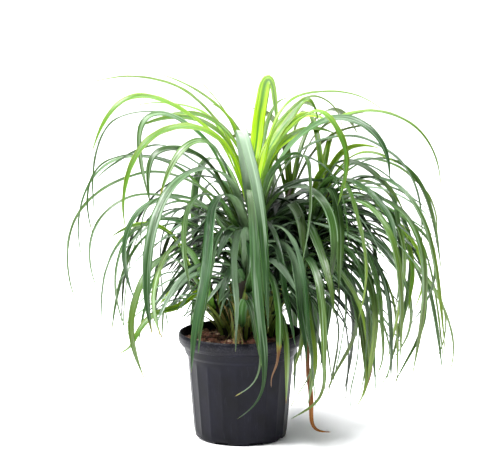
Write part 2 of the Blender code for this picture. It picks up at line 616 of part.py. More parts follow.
def free_route(stem, root_height, heading, length, rise, fall, bend, softness, sway):
    """A leaf's route by rule: it leaves the stem at the rise angle, and its slope turns to the fall
    angle around the bend, which is a share of its length; sway turns its heading on the way."""
    share = np.linspace(0, 1, STATIONS)
    turn = 1 / (1 + np.exp(-(share - bend) / softness))
    turn = (turn - turn[0]) / (turn[-1] - turn[0])
    slope = np.radians(rise + (fall - rise) * turn)
    compass = np.radians(heading + sway * share**2)
    step = length / (STATIONS - 1)
    level = np.cos(slope)
    moves = np.stack([level * np.cos(compass), level * np.sin(compass), np.sin(slope)], axis=-1)
    route = np.concatenate([np.zeros((1, 3)), np.cumsum(moves[:-1] * step, axis=0)])
    return root_place(stem, root_height, moves[0, :2]) + route


def blade_frame(route, roll):
    """Unit vectors across the leaf and out of its upper face. Across starts level, square to the way
    that the leaf reaches out, and is carried along the route without turning about it; roll gives the
    degrees that the blade is then turned about its own length, at its root and at its tip."""
    ahead = np.gradient(route, axis=0)
    ahead /= np.linalg.norm(ahead, axis=1, keepdims=True)
    reach = route[int(REACH_SHARE * len(route)), :2] - route[0, :2]
    across = np.zeros_like(route)
    across[0] = (-reach[1], reach[0], 0)
    for station in range(len(route)):
        carried = across[max(station - 1, 0)]
        carried = carried - ahead[station] * np.dot(carried, ahead[station])
        across[station] = carried / np.linalg.norm(carried)
    out = np.cross(ahead, across)
    share = np.linspace(0, 1, len(route))[:, None]
    turn = np.radians(roll[0] * (1 - share) ** 2 + roll[1] * share ** ROLL_EASE)
    return across * np.cos(turn) + out * np.sin(turn), out * np.cos(turn) - across * np.sin(turn)


def blade_width(share):
    """Width along the leaf as a share of its widest: a narrow root, a long parallel blade and a fine
    point."""
    point = 1 - np.clip((share - POINT_FROM) / (1 - POINT_FROM), 0, 1) ** POINT_EASE
    return np.interp(share, WIDTH_SHARES, WIDTH_PARTS) * point


def leaf_rings(route, width, roll, shares):
    """Along the leaf at the given shares of its length: the middle, the unit vectors across and out,
    and how far the edges and the keel stand off the middle."""
    at = np.asarray(shares) * (len(route) - 1)
    stations = np.arange(len(route))
    parts = []
    for part in (route, *blade_frame(route, roll)):
        values = [np.interp(at, stations, part[:, i]) for i in range(3)]
        parts.append(np.stack(values, axis=-1)[:, None])
    middle, across, out = parts
    half = width * blade_width(np.asarray(shares)) / 2
    keel = np.interp(shares, KEEL_SHARES, KEEL_DEPTHS)
    return middle, across, out, half, keel


def closed_loft(rings, tip):
    """Points and faces of a solid with a flat root, equal rings of points, and a pointed tip."""
    count, sides = rings.shape[:2]
    points = np.concatenate([rings.reshape(-1, 3), [tip]])
    faces = [tuple(reversed(range(sides)))]
    for low in range(0, (count - 1) * sides, sides):
        for j in range(sides):
            k = (j + 1) % sides
            faces.append((low + j, low + k, low + sides + k))
            faces.append((low + j, low + sides + k, low + sides + j))
    last = (count - 1) * sides
    for j in range(sides):
        faces.append((last + j, last + (j + 1) % sides, len(points) - 1))
    return points, faces


def leaf_solid(route, width, roll, rings=LEAF_RINGS):
    """Points and faces of a keeled leaf: rings of left edge, keel and right edge, ending in a point."""
    middle, across, out, half, keel = leaf_rings(route, width, roll, rings)
    sideways = np.stack([-half, 0 * half, half], axis=-1)[..., None]
    outward = np.stack([0 * half, -keel, 0 * half], axis=-1)[..., None]
    return closed_loft(middle + across * sideways + out * outward, route[-1])


def leaf_guard(route, width, roll, rings=LEAF_RINGS):
    """The leaf solid grown all round by the clearance, for testing where it has room."""
    middle, across, out, half, keel = leaf_rings(route, width, roll, rings)
    half, keel, clear = half + CLEAR, keel + CLEAR, CLEAR + 0 * half
    sideways = np.stack([-half, -half, 0 * half, half, half], axis=-1)[..., None]
    outward = np.stack([clear, -clear, -keel, -clear, clear], axis=-1)[..., None]
    tip = route[-1] + (route[-1] - route[-2]) * GUARD_TIP
    return closed_loft(middle + across * sideways + out * outward, tip)


class Placed:
    """A shape that already stands somewhere: its node, its box and its search tree."""

    def __init__(self, node, points, faces):
        self.node = node
        self.low, self.high = np.min(points, axis=0), np.max(points, axis=0)
        self.tree = BVHTree.FromPolygons(np.asarray(points).tolist(), faces)

    def meets(self, other):
        """Whether the two shapes touch."""
        apart = np.any(self.low > other.high) or np.any(other.low > self.high)
        return not apart and bool(self.tree.overlap(other.tree))


def turned_about(route, root, degrees):
    """The route swung about the upright line through its root."""
    angle = np.radians(degrees)
    x, y = route[:, 0] - root[0], route[:, 1] - root[1]
    return np.stack([root[0] + x * np.cos(angle) - y * np.sin(angle),
                     root[1] + x * np.sin(angle) + y * np.cos(angle), route[:, 2]], axis=-1)


def place_leaf(node, routes, width, roll, standing, blades, rings=LEAF_RINGS):
    """Try a leaf's routes in turn until one is clear of every other node, and if it can be of the other
    leaves of its own node past their roots. Gives the leaf's points and faces, or nothing if there is
    no room for it."""
    second_choice = None
    for route in routes:
        points, faces = leaf_guard(route, width, roll, rings)
        if points[:, 2].min() < LOWEST:
            continue
        whole = Placed(node, points, faces)
        if any(whole.meets(other) for other in standing if other.node != node):
            continue
        start = int(ROOT_SHARE * len(route))
        blade = Placed(node, *leaf_guard(route[start:], width, roll))
        if not any(blade.meets(other) for other in blades if other.node == node):
            return keep_leaf(node, route, width, roll, standing, blades, rings)
        if second_choice is None:
            second_choice = route
    if second_choice is None:
        return None
    return keep_leaf(node, second_choice, width, roll, standing, blades, rings)


def swung_routes(route):
    """The route swung about the upright line through its root, in small steps either way."""
    for degrees in TURNS:
        yield turned_about(route, route[0], degrees)


def in_outline(route):
    """Whether a leaf keeps within the plant's outline as the front view shows it."""
    x, z = as_seen(route)
    hidden = (route[:, 1] > BEHIND_POT) & (np.abs(x) < POT_HALF_SEEN)
    above = hidden | (z > np.interp(x, *zip(*HEM)))
    below = z < np.interp(x, *zip(*CROWN), left=0, right=0)
    return bool(np.all(above & below))


def front_routes(stem, age, root_height, tip_depth, seen):
    """The same front view at other depths, the least changed first."""
    changes = [(shift, bulge) for shift in TIP_SHIFTS for bulge in BULGES]
    changes.sort(key=lambda change: (abs(change[0]) + BULGE_WEIGHT * abs(change[1]), change))
    for shift, bulge in changes:
        route = front_route(stem, root_height, tip_depth + shift, seen, bulge)
        if age != "dead":
            yield route
            continue
        for lost in DEAD_LOST:
            yield evenly(route, np.linspace(lost, 1, STATIONS))


def keep_leaf(node, route, width, roll, standing, blades, rings):
    """Enter a placed leaf in the lists that later leaves are tested against."""
    solid = leaf_solid(route, width, roll, rings=rings)
    standing.append(Placed(node, *solid))
    start = int(ROOT_SHARE * len(route))
    blades.append(Placed(node, *leaf_solid(route[start:], width, roll)))
    return solid


def node_of(stem, age):
    """The node that a leaf belongs to."""
    return {"mature": f"{stem}_stem", "young": f"{stem}_young_tuft", "dead": "dead_leaf"}[age]


def solid_points(thing):
    """An object's points in millimetres and its faces."""
    points = [vertex.co / MM for vertex in thing.data.vertices]
    faces = [list(face.vertices) for face in thing.data.polygons]
    return np.array(points), faces


def grow_leaves(pot, soil):
    """Every leaf's solid, by node: the front leaves first, then those that the rule adds between
    them."""
    rng = random.Random(SEED)
    standing = [Placed("pot", *solid_points(pot)), Placed("soil", *solid_points(soil))]
    blades = []
    for stem in STEMS:
        standing.append(Placed(f"{stem}_stem", *stem_column(stem)))
        standing.append(Placed(f"{stem}_young_tuft", *bud_column(stem)))
    grown = {}
    for stem in STEMS:
        for route, width in sheath_leaves(stem):
            node = node_of(stem, "mature")
            solid = place_leaf(node, swung_routes(route), width, (0, 0), standing, blades, SHEATH_RINGS)
            if solid:
                grown.setdefault(node, []).append(solid)
    for stem, age, width, root_height, tip_depth, seen in [*FRONT_LEAVES, DEAD_LEAF]:
        routes = front_routes(stem, age, root_height, tip_depth, seen)
        facing = min(abs(tip_depth) / FACING_DEPTH, 1)
        roll = rng.uniform(*SIDE_ROLL) * (1 - facing) + rng.uniform(*FACING_ROLL) * facing
        roll *= rng.choice((-1, 1))
        roll = (ROOT_ROLLS.get(seen[0], 0), ROLLS.get(seen[0], roll))
        solid = place_leaf(node_of(stem, age), routes, width, roll, standing, blades)
        if solid:
            grown.setdefault(node_of(stem, age), []).append(solid)
    for row in FILL:
        stem, age, count = row[:3]
        for number in range(count):
            solid = fill_leaf(row, number, rng, standing, blades)
            if solid:
                grown.setdefault(node_of(stem, age), []).append(solid)
    return grown


def fill_leaf(row, number, rng, standing, blades):
    """One leaf by rule. Roots spiral up the stem by the golden angle within their sector; the higher
    the root, the younger the leaf and the steeper it rises. A leaf without room is tried again
    shorter."""
    stem, age, count, roots, sector, length, width = row
    share = number / count
    height = roots[0] + (roots[1] - roots[0]) * share
    heading = sector[0] + (number * GOLDEN_ANGLE) % (sector[1] - sector[0]) + rng.uniform(-8, 8)
    habit = HABITS[age]
    rise, fall, bend, softness = (habit[key][0] + habit[key][1] * share + rng.uniform(*habit[key][2])
                                  for key in ("rise", "fall", "bend", "softness"))
    long = rng.uniform(*length)
    wide = rng.uniform(*width)
    roll = (0, rng.uniform(*FILL_ROLL))
    sway = rng.uniform(*FILL_SWAY)
    for shorter in SHORTER:
        route = free_route(stem, height, heading, long * shorter, rise, fall, bend, softness, sway)
        routes = filter(in_outline, swung_routes(route))
        solid = place_leaf(node_of(stem, age), routes, wide, roll, standing, blades, FILL_RINGS)
        if solid:
            return solid
    return None


def sheath_leaves(stem):
    """Routes and widths of the short clasping leaf bases that wrap the lower stem."""
    low, high = SHEATH_LOWEST, STEMS[stem]["top"][2] - SHEATH_BELOW_TOP
    made = []
    for number in range(SHEATHS[stem]):
        share = number / SHEATHS[stem]
        heading = SHEATH_HEADING + number * GOLDEN_ANGLE
        height = low + (high - low) * share
        route = free_route(stem, height, heading, SHEATH_LENGTH, *SHEATH_HABIT, 0)
        made.append((route, SHEATH_WIDTHS[0] + (SHEATH_WIDTHS[1] - SHEATH_WIDTHS[0]) * share))
    return made


def keep_main_body(thing):
    """Keep the mesh's largest shell of faces that meet two by two along edges. What goes is the wall of
    a hollow that the union sealed, or a scrap that hangs on by a point or an edge."""
    mesh = bmesh.new()
    mesh.from_mesh(thing.data)
    left = set(mesh.faces)
    shells = []
    while left:
        shell, waiting = [], [left.pop()]
        while waiting:
            face = waiting.pop()
            shell.append(face)
            for edge in face.edges:
                for other in edge.link_faces:
                    if len(edge.link_faces) == 2 and other in left:
                        left.discard(other)
                        waiting.append(other)
        shells.append(shell)
    shells.sort(key=len)
    for shell in shells[:-1]:
        bmesh.ops.delete(mesh, geom=shell, context="FACES")
    mesh.to_mesh(thing.data)
    mesh.free()


def fuse(name, core, leaves, finish):
    """One solid of a core and its leaves, by a Boolean union on their collection."""
    thing = new_object(name, *core, finish)
    group = bpy.data.collections.new(name + "_leaves")
    bpy.context.scene.collection.children.link(group)
    for number, (points, faces) in enumerate(leaves):
        new_object(f"{name}_{number}", points, faces, finish, group)
    union = thing.modifiers.new("join", "BOOLEAN")
    union.operation = "UNION"
    union.solver = "MANIFOLD"
    union.operand_type = "COLLECTION"
    union.collection = group
    apply_modifiers(thing)
    keep_main_body(thing)
    for leaf in list(group.objects):
        bpy.data.objects.remove(leaf, do_unlink=True)
    bpy.data.collections.remove(group)
    return thing


def build():
    """Make every node of the potted plant."""
    clear_the_scene()
    old_green = material("mature_leaf", (0.035, 0.105, 0.03), 0.4)
    lime = material("young_leaf", (0.29, 0.48, 0.03), 0.4)
    dry = material("dry_leaf", (0.16, 0.07, 0.025), 0.7)
    pot = make_pot()
    soil = make_soil()
    grown = grow_leaves(pot, soil)
    for stem in STEMS:
        fuse(f"{stem}_stem", stem_column(stem), grown[f"{stem}_stem"], old_green)
        fuse(f"{stem}_young_tuft", bud_column(stem), grown[f"{stem}_young_tuft"], lime)
    new_object("dead_leaf", *grown["dead_leaf"][0], dry)


build()
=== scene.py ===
"""Potted dragon tree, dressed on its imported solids.

Every leaf is grown again by the rule that made its solid, and drawn as a thin channelled strap with veins,
a midrib and a dry point. The pot, the bark and the stems get their finer forms here too. Sizes are in
millimetres until a mesh is made. +Z is up and the plant's front faces -Y.
"""

import collections
import functools
import random

import bpy
import numpy as np
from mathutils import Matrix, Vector
from mathutils.bvhtree import BVHTree


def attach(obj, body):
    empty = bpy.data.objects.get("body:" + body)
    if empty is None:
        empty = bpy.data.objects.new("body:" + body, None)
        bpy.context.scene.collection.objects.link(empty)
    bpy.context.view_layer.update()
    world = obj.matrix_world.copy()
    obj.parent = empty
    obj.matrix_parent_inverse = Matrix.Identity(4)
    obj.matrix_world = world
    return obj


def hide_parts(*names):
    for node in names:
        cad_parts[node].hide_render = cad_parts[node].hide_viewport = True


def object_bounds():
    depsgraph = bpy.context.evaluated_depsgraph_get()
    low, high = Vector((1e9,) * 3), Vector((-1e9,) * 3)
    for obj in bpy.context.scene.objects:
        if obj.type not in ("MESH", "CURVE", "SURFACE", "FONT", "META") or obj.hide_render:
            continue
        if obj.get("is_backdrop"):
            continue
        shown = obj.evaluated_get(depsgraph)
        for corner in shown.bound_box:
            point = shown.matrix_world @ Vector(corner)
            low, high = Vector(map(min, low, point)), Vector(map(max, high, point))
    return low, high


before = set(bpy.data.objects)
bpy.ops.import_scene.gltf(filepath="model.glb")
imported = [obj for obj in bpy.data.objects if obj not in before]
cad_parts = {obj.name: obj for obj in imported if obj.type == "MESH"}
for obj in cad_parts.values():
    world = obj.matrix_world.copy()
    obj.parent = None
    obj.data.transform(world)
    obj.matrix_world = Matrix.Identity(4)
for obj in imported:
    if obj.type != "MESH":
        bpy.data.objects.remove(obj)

SOLID_LOW, SOLID_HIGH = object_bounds()

# A millimetre in metres, the seed of the draws, the gap between solids and how high the filling reaches
MM = 0.001
SEED = 7
GAP = 0.3
SOIL_TOP = 203

# Pot: its outlines as (radius, height) and its columns; how its corners are rounded and its walls divided;
# its ribs, and between them the flat panels, with the heights where these begin, are full, still are and
# end; the notches at its foot, and how crisp their edges are
POT_OUTER = [(89, 0), (93.5, 4), (95.7, 16), (108.6, 163), (109.3, 171), (114, 177), (118, 191.5),
             (122, 193), (127, 200), (128.8, 208), (128.3, 215), (125.8, 219.5)]
POT_INNER = [(123.3, 219.5), (121, 201), (115, 191), (106.4, 171), (90.5, 4)]
POT_COLUMNS = 252
CORNER, CORNER_SHARE, CORNER_POINTS, WALL_STEP = 1.6, 0.45, 5, 6
RIBS, RIB, RIB_WIDTH, PANEL_DEPTH = 21, 0.35, 0.13, 1.3
RIB_STEP = 2 * np.pi / RIBS
PANEL_HEIGHTS = (9, 19, 157, 166)
NOTCHES, FIRST_NOTCH = 8, -115
NOTCH_WIDTH, NOTCH_FROM, NOTCH_HEIGHT = 28, 85, 6
NOTCH_LIP, NOTCH_EDGE = 0.03, 0.002

# Filling: its radius, that of its innermost ring, its rings and columns; then how much its middle stands
# up, how far its edge lies below its top and off the wall, and how lumpy it is
SOIL_EDGE, SOIL_EYE, SOIL_RINGS, SOIL_COLUMNS = 120, 4, 50, 160
SOIL_CROWN, SOIL_EDGE_DROP, SOIL_GAP, SOIL_LUMPS = 5, 4, 0.6, 1.1

# Bark chips: how many; their length, with their width and thickness as shares of it; their grid; how
# blocky, torn and tilted they are; how far they lie over the filling and off the stems; how many are pale
CHIPS = 760
CHIP_LENGTH, CHIP_WIDE, CHIP_THICK = (6, 24), (0.2, 0.38), (0.09, 0.2)
CHIP_ROWS, CHIP_COLUMNS = 3, 7
CHIP_BLOCKINESS, CHIP_TEAR, CHIP_TILT = 0.72, 0.12, 0.38
CHIP_LIFT, CHIP_CLEAR = (-0.5, 2.4), 4
PALE_CHIPS = 0.12

# Leaves as drawn: points across the upper face; the channel's shape, how much of its depth lies under the
# blade's plane, its depth as a share of the solid's keel and the steepest that its halves may rise
LEAF_COLUMNS = 9
CHANNEL, LIFT, CHANNEL_DEPTH, CHANNEL_STEEPEST = 1.2, 0.33, 1.3, 0.36

# How high the margins wave, on a blade that is WAVE_HALF to each side, how long the wave is, and how
# strong and how quick the second wave is that breaks it up
WAVE, WAVE_HALF, WAVE_LENGTH, SECOND_WAVE = 0.45, 10, 46, (0.6, 3.7)

# How long the blade keeps its width towards the point, and its least half width; the thickness at the
# root, just above it and at the tip; and the leaves, named by the first point of their routes, that narrow
# sooner, as shares of the length and of the width
DRAWN_POINT, TIP_HALF = 2.3, 1.1
THICKNESS_SHARES, LEAF_THICKNESS = (0, 0.1, 1), (2.0, 1.1, 0.8)
SLIM_POINTS = {(26, 500): ((0.74, 0.86), (1, 0.55)), (30, 345): ((0.74, 0.82), (1, 0.5)),
               (30, 410): ((0.6, 0.78), (1, 0.32)), (205, 350): ((0.8, 0.9), (1, 0.7))}

# How far (degrees) the leaves placed by a rule are rolled past their solids at their tips, and the roll of
# the dead leaf at its root and its tip
FILL_TWIST = 28
DEAD_ROLL = (30, 70)

# Where along its length a leaf turns dry: beyond its tip at NEVER_DRY, up to DRY_LONGEST sooner in the few
# whose draw is over DRY_RARE, and sooner still in two
NEVER_DRY, DRY_LONGEST, DRY_RARE = 1.01, 0.06, 0.8
DRY_TIPS = {(30, 345): 0.77, (205, 350): 0.8}

# What sets the leaves of each stem apart: how light their far ends may be, how much light reaches them
# and their roots, how fresh the young ones are, which on the back stem is partly a painted shade, and how
# many old leaf bases the stem has, from which heading on
STEM_LOOKS = {
    "main": {"bright": 0.35, "lit": 1.08, "root_lit": 0.85, "vigour": 1.0, "bases": 18, "heading": 250},
    "right": {"bright": 1.2, "lit": 0.96, "root_lit": 0.5, "vigour": 0.5, "bases": 14, "heading": 300},
    "left": {"bright": 0.5, "lit": 1.08, "root_lit": 1.0, "vigour": 0.85, "bases": 12, "heading": 240},
    "back": {"bright": 0.8, "lit": 0.3, "root_lit": 0.5, "vigour": 0.5, "bases": 10, "heading": 280},
}

# Leaves shade each other more than the lamps alone show. The share of a leaf over which its root's shade
# fades; the dark heart of the clump, its middle, its size and how much light is lost there; and the light
# on a leaf, which is drawn, or given for a few
ROOT_SHADE_TO = 0.4
HEART, HEART_SIZE, HEART_DEPTH = (75, 40, 510), (85, 140, 120), 0.75
LIGHT_LEAST, LIGHT_SPAN = 0.8, 0.3
LEAF_LIGHT = {(26, 500): 0.55, (2, 655): 0.8, (-12, 500): 0.75, (-8, 635): 0.8, (30, 410): 0.6}

# The freshness of a leaf is 0 at the soil and 1 at the top of the old wood, and no higher than FRESHEST
# but in two that stay fresh to their tips. Some get a painted sheen, a pale highlight painted into their
# colour: how much, and up to which share of their length, or past their middle where that is 0.
FRESHEST = 1.3
EVER_FRESH, EVER_FRESHNESS = ((30, 585), (58, 600)), 1.6
SHEEN_PAINTED_LEAVES = {(2, 655): (0.7, 0.7), (26, 500): (0.35, 0.35), (30, 585): (0.3, 0.0), (70, 600): (0.2, 0.6),
                 (90, 590): (0.35, 0.5), (36, 432): (0.35, 0.6), (44, 396): (0.45, 0.7),
                 (-12, 500): (0.35, 0.35), (-60, 478): (0.3, 0.6), (-25, 545): (0.35, 0.5),
                 (50, 395): (0.3, 0.6), (182, 515): (0.3, 0.5), (12, 420): (0.25, 1)}

# Leaves lie this far apart in their finishes' noise, so that no two have the same pattern
APART = 37.0

# Wood under the leaves: its rings and sides, how deep it stands in the filling, its leaf scars and how
# far apart they are, and how uneven it is; and how much the tip of a blunt end rises
WOOD_RINGS, WOOD_SIDES, WOOD_FOOT = 90, 40, 20
SCAR, SCAR_SPACING, WOOD_UNEVEN, WOOD_WAVE = 0.06, 7, 0.03, 23
BLUNT_TIP = (0, 0, 2)

# Old leaf bases that clasp the wood: how far the first lies under the soil's top and each next one above
# it and further off the stem; their grid and thickness; the spans of their sizes and of their headings
# (radians); their width along them; how they lean away and their edges curl out; and how much shorter,
# less wrapped and thinner they end, and how hollow their faces are
BASE_FOOT, BASE_RISE, BASE_STACK = 8, 3.6, 0.16
BASE_RINGS, BASE_SIDES, BASE_THICKNESS = 16, 7, 1.4
BASE_LENGTH, BASE_WIDTH, BASE_LEAN, BASE_TURN = (50, 125), (11, 17), (8, 34), (-0.2, 0.2)
BASE_SHARES, BASE_PARTS = (0, 0.3, 0.7, 1), (0.55, 1, 0.8, 0.15)
BASE_EASE, BASE_CURL = 2.4, 2.2
BASE_SHORTER, BASE_UNWRAPPED, BASE_THINNER, BASE_HOLLOW = 0.12, 0.4, 0.6, 0.1

# Straw fibres in front of the main stem's foot: their grid, half thickness, taper and tip; their length and
# how far apart they may lie in the noise, how they wave and arch; where the wisp starts and ends, and how
# far it spreads; and the strays' ends and arches
FIBRES, FIBRE_RINGS, FIBRE_SIDES = 34, 12, 5
FIBRE_RADIUS, FIBRE_TAPER, FIBRE_TIP = (0.35, 0.8), 0.6, 0.3
FIBRE_LENGTH, FIBRE_APART, FIBRE_WAVE, FIBRE_TURNS, FIBRE_ARCH = 60, 90, 3.5, (4, 9), (2, 14)
FIBRE_START, FIBRE_START_SPREAD = (-6, -42, 238), (3.5, 2, 5)
FIBRE_END, FIBRE_END_SPREAD = (-6, -96, 211), (6, 13, 1.5)
STRAY_FIBRES = [((34, -66, 262), 10), ((-14, -123, 218), 8), ((-30, -90, 214), 12)]

# Inner leaves that stand between those of the solids and hide the wood: for each row its stem, how many,
# the heights of their roots, the middle and the half of the span of their headings, their length and
# width, and how steeply they rise and fall (degrees)
INNER = [("main", 13, (290, 436), (180, 42), (180, 330), (9, 14), 30, -50),
         ("main", 16, (262, 436), (0, 42), (180, 300), (9, 14), 32, -50),
         ("main", 30, (262, 440), (0, 180), (120, 215), (13, 18), 42, -58),
         ("main", 16, (380, 444), (30, 50), (190, 290), (14, 19), 52, -22),
         ("right", 20, (260, 430), (0, 45), (190, 330), (9, 14), 30, -50),
         ("right", 12, (260, 430), (180, 40), (150, 260), (9, 14), 34, -48),
         ("right", 26, (260, 432), (0, 180), (120, 220), (12, 17), 42, -58),
         ("right", 16, (330, 436), (90, 180), (120, 200), (14, 19), 56, -15),
         ("right", 18, (385, 438), (12, 60), (270, 400), (7, 10), 52, -40),
         ("left", 7, (240, 282), (180, 60), (150, 260), (8, 12), 32, -45),
         ("left", 4, (240, 282), (90, 90), (110, 190), (12, 16), 40, -50),
         ("back", 14, (290, 438), (180, 45), (190, 320), (10, 15), 32, -50),
         ("back", 18, (262, 438), (0, 45), (190, 320), (10, 15), 32, -50),
         ("back", 22, (262, 440), (90, 120), (140, 300), (13, 18), 42, -62),
         ("back", 30, (320, 446), (250, 180), (120, 225), (15, 20), 54, -20)]

# How the inner leaves' draws go: the spread of both slopes and how much steeper the high ones rise
# (degrees), where and how softly they bend, and how they are rolled at their tips. They hang no lower
# than INNER_HEM in front of INNER_FRONT, and keep POT_CLEAR off the axis up to RIM_CLEAR over the soil.
INNER_SPREAD, INNER_STEEPER = 9, 14
INNER_BEND, INNER_SOFTNESS, INNER_ROLL = (0.3, 0.45), (0.08, 0.2), (26, 66)
INNER_HEM, INNER_FRONT = 262, -45
POT_CLEAR, RIM_CLEAR = 138, 25

# They are less fresh than the others. They are darkened by painted shade too, but for those that reach
# INNER_ASIDE to the side, and some of these get a painted sheen, less toward their tips.
INNER_FRESHNESS, INNER_SHADED_TONE, INNER_ASIDE = 0.35, 0.45, 170
INNER_PAINTED_SHEEN, INNER_PAINTED_SHEEN_TO = 0.75, 1.4

# Looks of the two ages of leaf, as sRGB colours and shares: see leaf_finish. Among them are the colour of
# a painted sheen, that of pale streaks that are partly painted sheen, and a rib colour that in the young
# leaves is partly painted shade.
MATURE_LOOK = {"deep": "#0a2207", "fresh": "#447c24", "cool": "#2a5e2c", "dull": "#16330f", "far": "#23431c",
               "far_light": "#6c8420", "foot": "#8eb830", "pale": "#b8d2b2", "rib": "#4d7a34",
               "margin": "#5f9440", "under": "#48742e", "painted_sheen": "#bcd8b8", "yellowed": "#8c8434",
               "dried": "#6e4c2c", "glow": "#63a41c", "dull_share": 0.0, "far_share": (0.45, 0.95),
               "pale_streaks_and_sheen": 0.46, "rib_and_crease_width": 0.09, "rib_and_crease_share": 0.3, "gloss": 0.36, "clear": 0.16}
YOUNG_LOOK = {"deep": "#7cb204", "fresh": "#b0da04", "cool": "#98bc1e", "dull": "#4c7a1c", "far": "#4c6c1a",
              "far_light": "#7c9a24", "foot": "#b2dc0a", "pale": "#c8e08c", "rib": "#35760c",
              "margin": "#c0de30", "under": "#88ac24", "painted_sheen": "#bcd8b8", "yellowed": "#8c8a48",
              "dried": "#6e5c3c", "glow": "#b4e00c", "dull_share": 0.85, "far_share": (0.3, 0.75),
              "pale_streaks_and_sheen": 0.08, "rib_and_crease_width": 0.22, "rib_and_crease_share": 0.9, "gloss": 0.35, "clear": 0.26}

# A leaf's veins are 0.5 mm apart, too fine to show, and are drawn 2.9 mm apart. The other lengths are
# those of its clouds of colour, of its pale streaks, which are partly a painted sheen, and of the ragged
# border of its dry end, across and along it. The last number carries a leaf away from the noise of the
# others. CHANCE makes a second draw of a leaf's tone.
VEINS, CLOUDS, PALE_STREAKS_AND_SHEEN, RAGS = (2.94, 167, 1), (33.3, 83.3, 1), (5, 250, 1), (3.33, 20, 1)
CHANCE = 7.31

# Studio, in metres: the photo's lens and its sideways shift; the floor's front edge, where it starts to
# sweep up, the sweep's radius and points, the wall's top and the half width; each lamp's place, aim,
# size, power and colour; and the light of the air
LENS, LENS_SHIFT = 143.0, 0.0185
FLOOR_FRONT, FLOOR_BACK, SWEEP, SWEEP_POINTS, WALL_TOP, FLOOR_HALF = -6.0, 5.2, 1.5, 12, 9.0, 10.0
LAMPS = [("key_lamp", (-2.5, -0.9, 3.9), (0.0, 0.0, 0.35), 1.5, 520, "#fefefd"),
         ("top_lamp", (1.3, -0.7, 3.0), (0.0, 0.0, 0.4), 1.4, 150, "#fdfeff"),
         ("backdrop_lamp", (0.0, 2.4, 4.6), (0.0, 5.4, 0.2), 3.0, 300, "#ffffff")]
AIR, AIR_COLOUR = 0.13, "#f4f8ff"

# Stems: foot on the soil, top of the old wood, radii there. All stand 58 mm deep in the soil, and lean
# above it only
STEM_SIDES = 10
STEM_RINGS = 7
STEM_DEPTH = 58
LEAN_EASE = 1.3
LEAN_FROM = SOIL_TOP + 10
BUD_HEIGHT = 74
BUD_HEIGHTS = (0, 0.35, 0.7, 1)
BUD_RADII = (0.65, 0.6, 0.42, 0.15)
STEMS = {
    "main": {"foot": (-1, -20), "top": (26, -16, 446), "radii": (19, 12)},
    "right": {"foot": (54, 24), "top": (144, 12, 440), "radii": (17, 10)},
    "left": {"foot": (-28, 26), "top": (-68, 12, 288), "radii": (16, 9)},
    "back": {"foot": (24, 64), "top": (88, 108, 448), "radii": (16, 10)},
}

# Leaves: where along its length a leaf has a ring, how deep its keel and how wide its blade is along
# it, how late its roll comes, where along it the way that it reaches out is read, and the shares that
# the dead leaf may have lost at its root, tried from the smallest so that it hangs against its stem
LEAF_RINGS = (0.0, 0.09, 0.20, 0.32, 0.45, 0.58, 0.71, 0.84)
FILL_RINGS = (0.0, 0.13, 0.30, 0.47, 0.64, 0.82)
SHEATH_RINGS = (0.0, 0.2, 0.5, 0.8)
STATIONS = 60
KEEL_SHARES, KEEL_DEPTHS = (0, 0.08, 0.3, 1), (4.2, 2.4, 1.7, 1.0)
WIDTH_SHARES, WIDTH_PARTS = (0, 0.1, 0.4), (0.5, 0.8, 1)
POINT_FROM, POINT_EASE = 0.52, 1.7
ROLL_EASE = 1.5
REACH_SHARE = 0.7
DEPTH_EASE = 1.7
SMOOTHINGS = 6
DEAD_LOST = np.arange(0, 0.12, 0.001)

# How a leaf finds room: it keeps CLEAR of the rest and above LOWEST, its first ROOT_SHARE may cross its
# neighbours, and it is rooted at ROOT_OFF of its stem's radius. It tries being swung about its root by
# degrees, or other depths of its tip and bulges of its route, which count BULGE_WEIGHT as much. Its
# test shape ends GUARD_TIP of a step later.
CLEAR = 0.6
LOWEST = 6
ROOT_SHARE = 0.2
ROOT_OFF = 0.75
TURNS = [0, 3, -3, 6, -6, 9, -9, 13, -13, 17, -17, 22, -22]
TIP_SHIFTS = [0, 20, -20, 40, -40, 60, -60, 85, -85, 110, -110, 140, -140]
BULGES = [0, 20, -20, 40, -40]
BULGE_WEIGHT = 1.5
GUARD_TIP = 0.1

# The eye that the front routes are read from looks down by the pitch. The routes give x and z as read
# off a sheet that stands square to the line of sight at the pot's axis: x is zero SEEN_AXIS left of the
# axis, z is SEEN_MIDDLE on the line of sight, and one read millimetre is SEEN_WIDE across or SEEN_TALL
# up the sheet.
EYE_BACK, EYE_HEIGHT = 4000, 1060
EYE_PITCH = np.radians(9.153)
SEEN_AXIS, SEEN_MIDDLE = 3, 416.4
SEEN_WIDE, SEEN_TALL = 0.9874, 0.9623

# How low the leaves placed by a rule may hang and how high they may reach, as (x, z) seen from the
# front. Behind the pot, past BEHIND_POT and within POT_HALF_SEEN of its axis, they may hang lower.
HEM = [(-360, 290), (-300, 270), (-215, 130), (-185, 180), (-120, 215), (-100, 240), (50, 240),
       (65, 90), (110, 40), (170, 60), (260, 75), (330, 100), (440, 120)]
CROWN = [(-350, 440), (-300, 560), (-230, 640), (-120, 700), (60, 730), (160, 715), (270, 690), (350, 620),
         (395, 520), (415, 380), (430, 240)]
BEHIND_POT = 60
POT_HALF_SEEN = 100

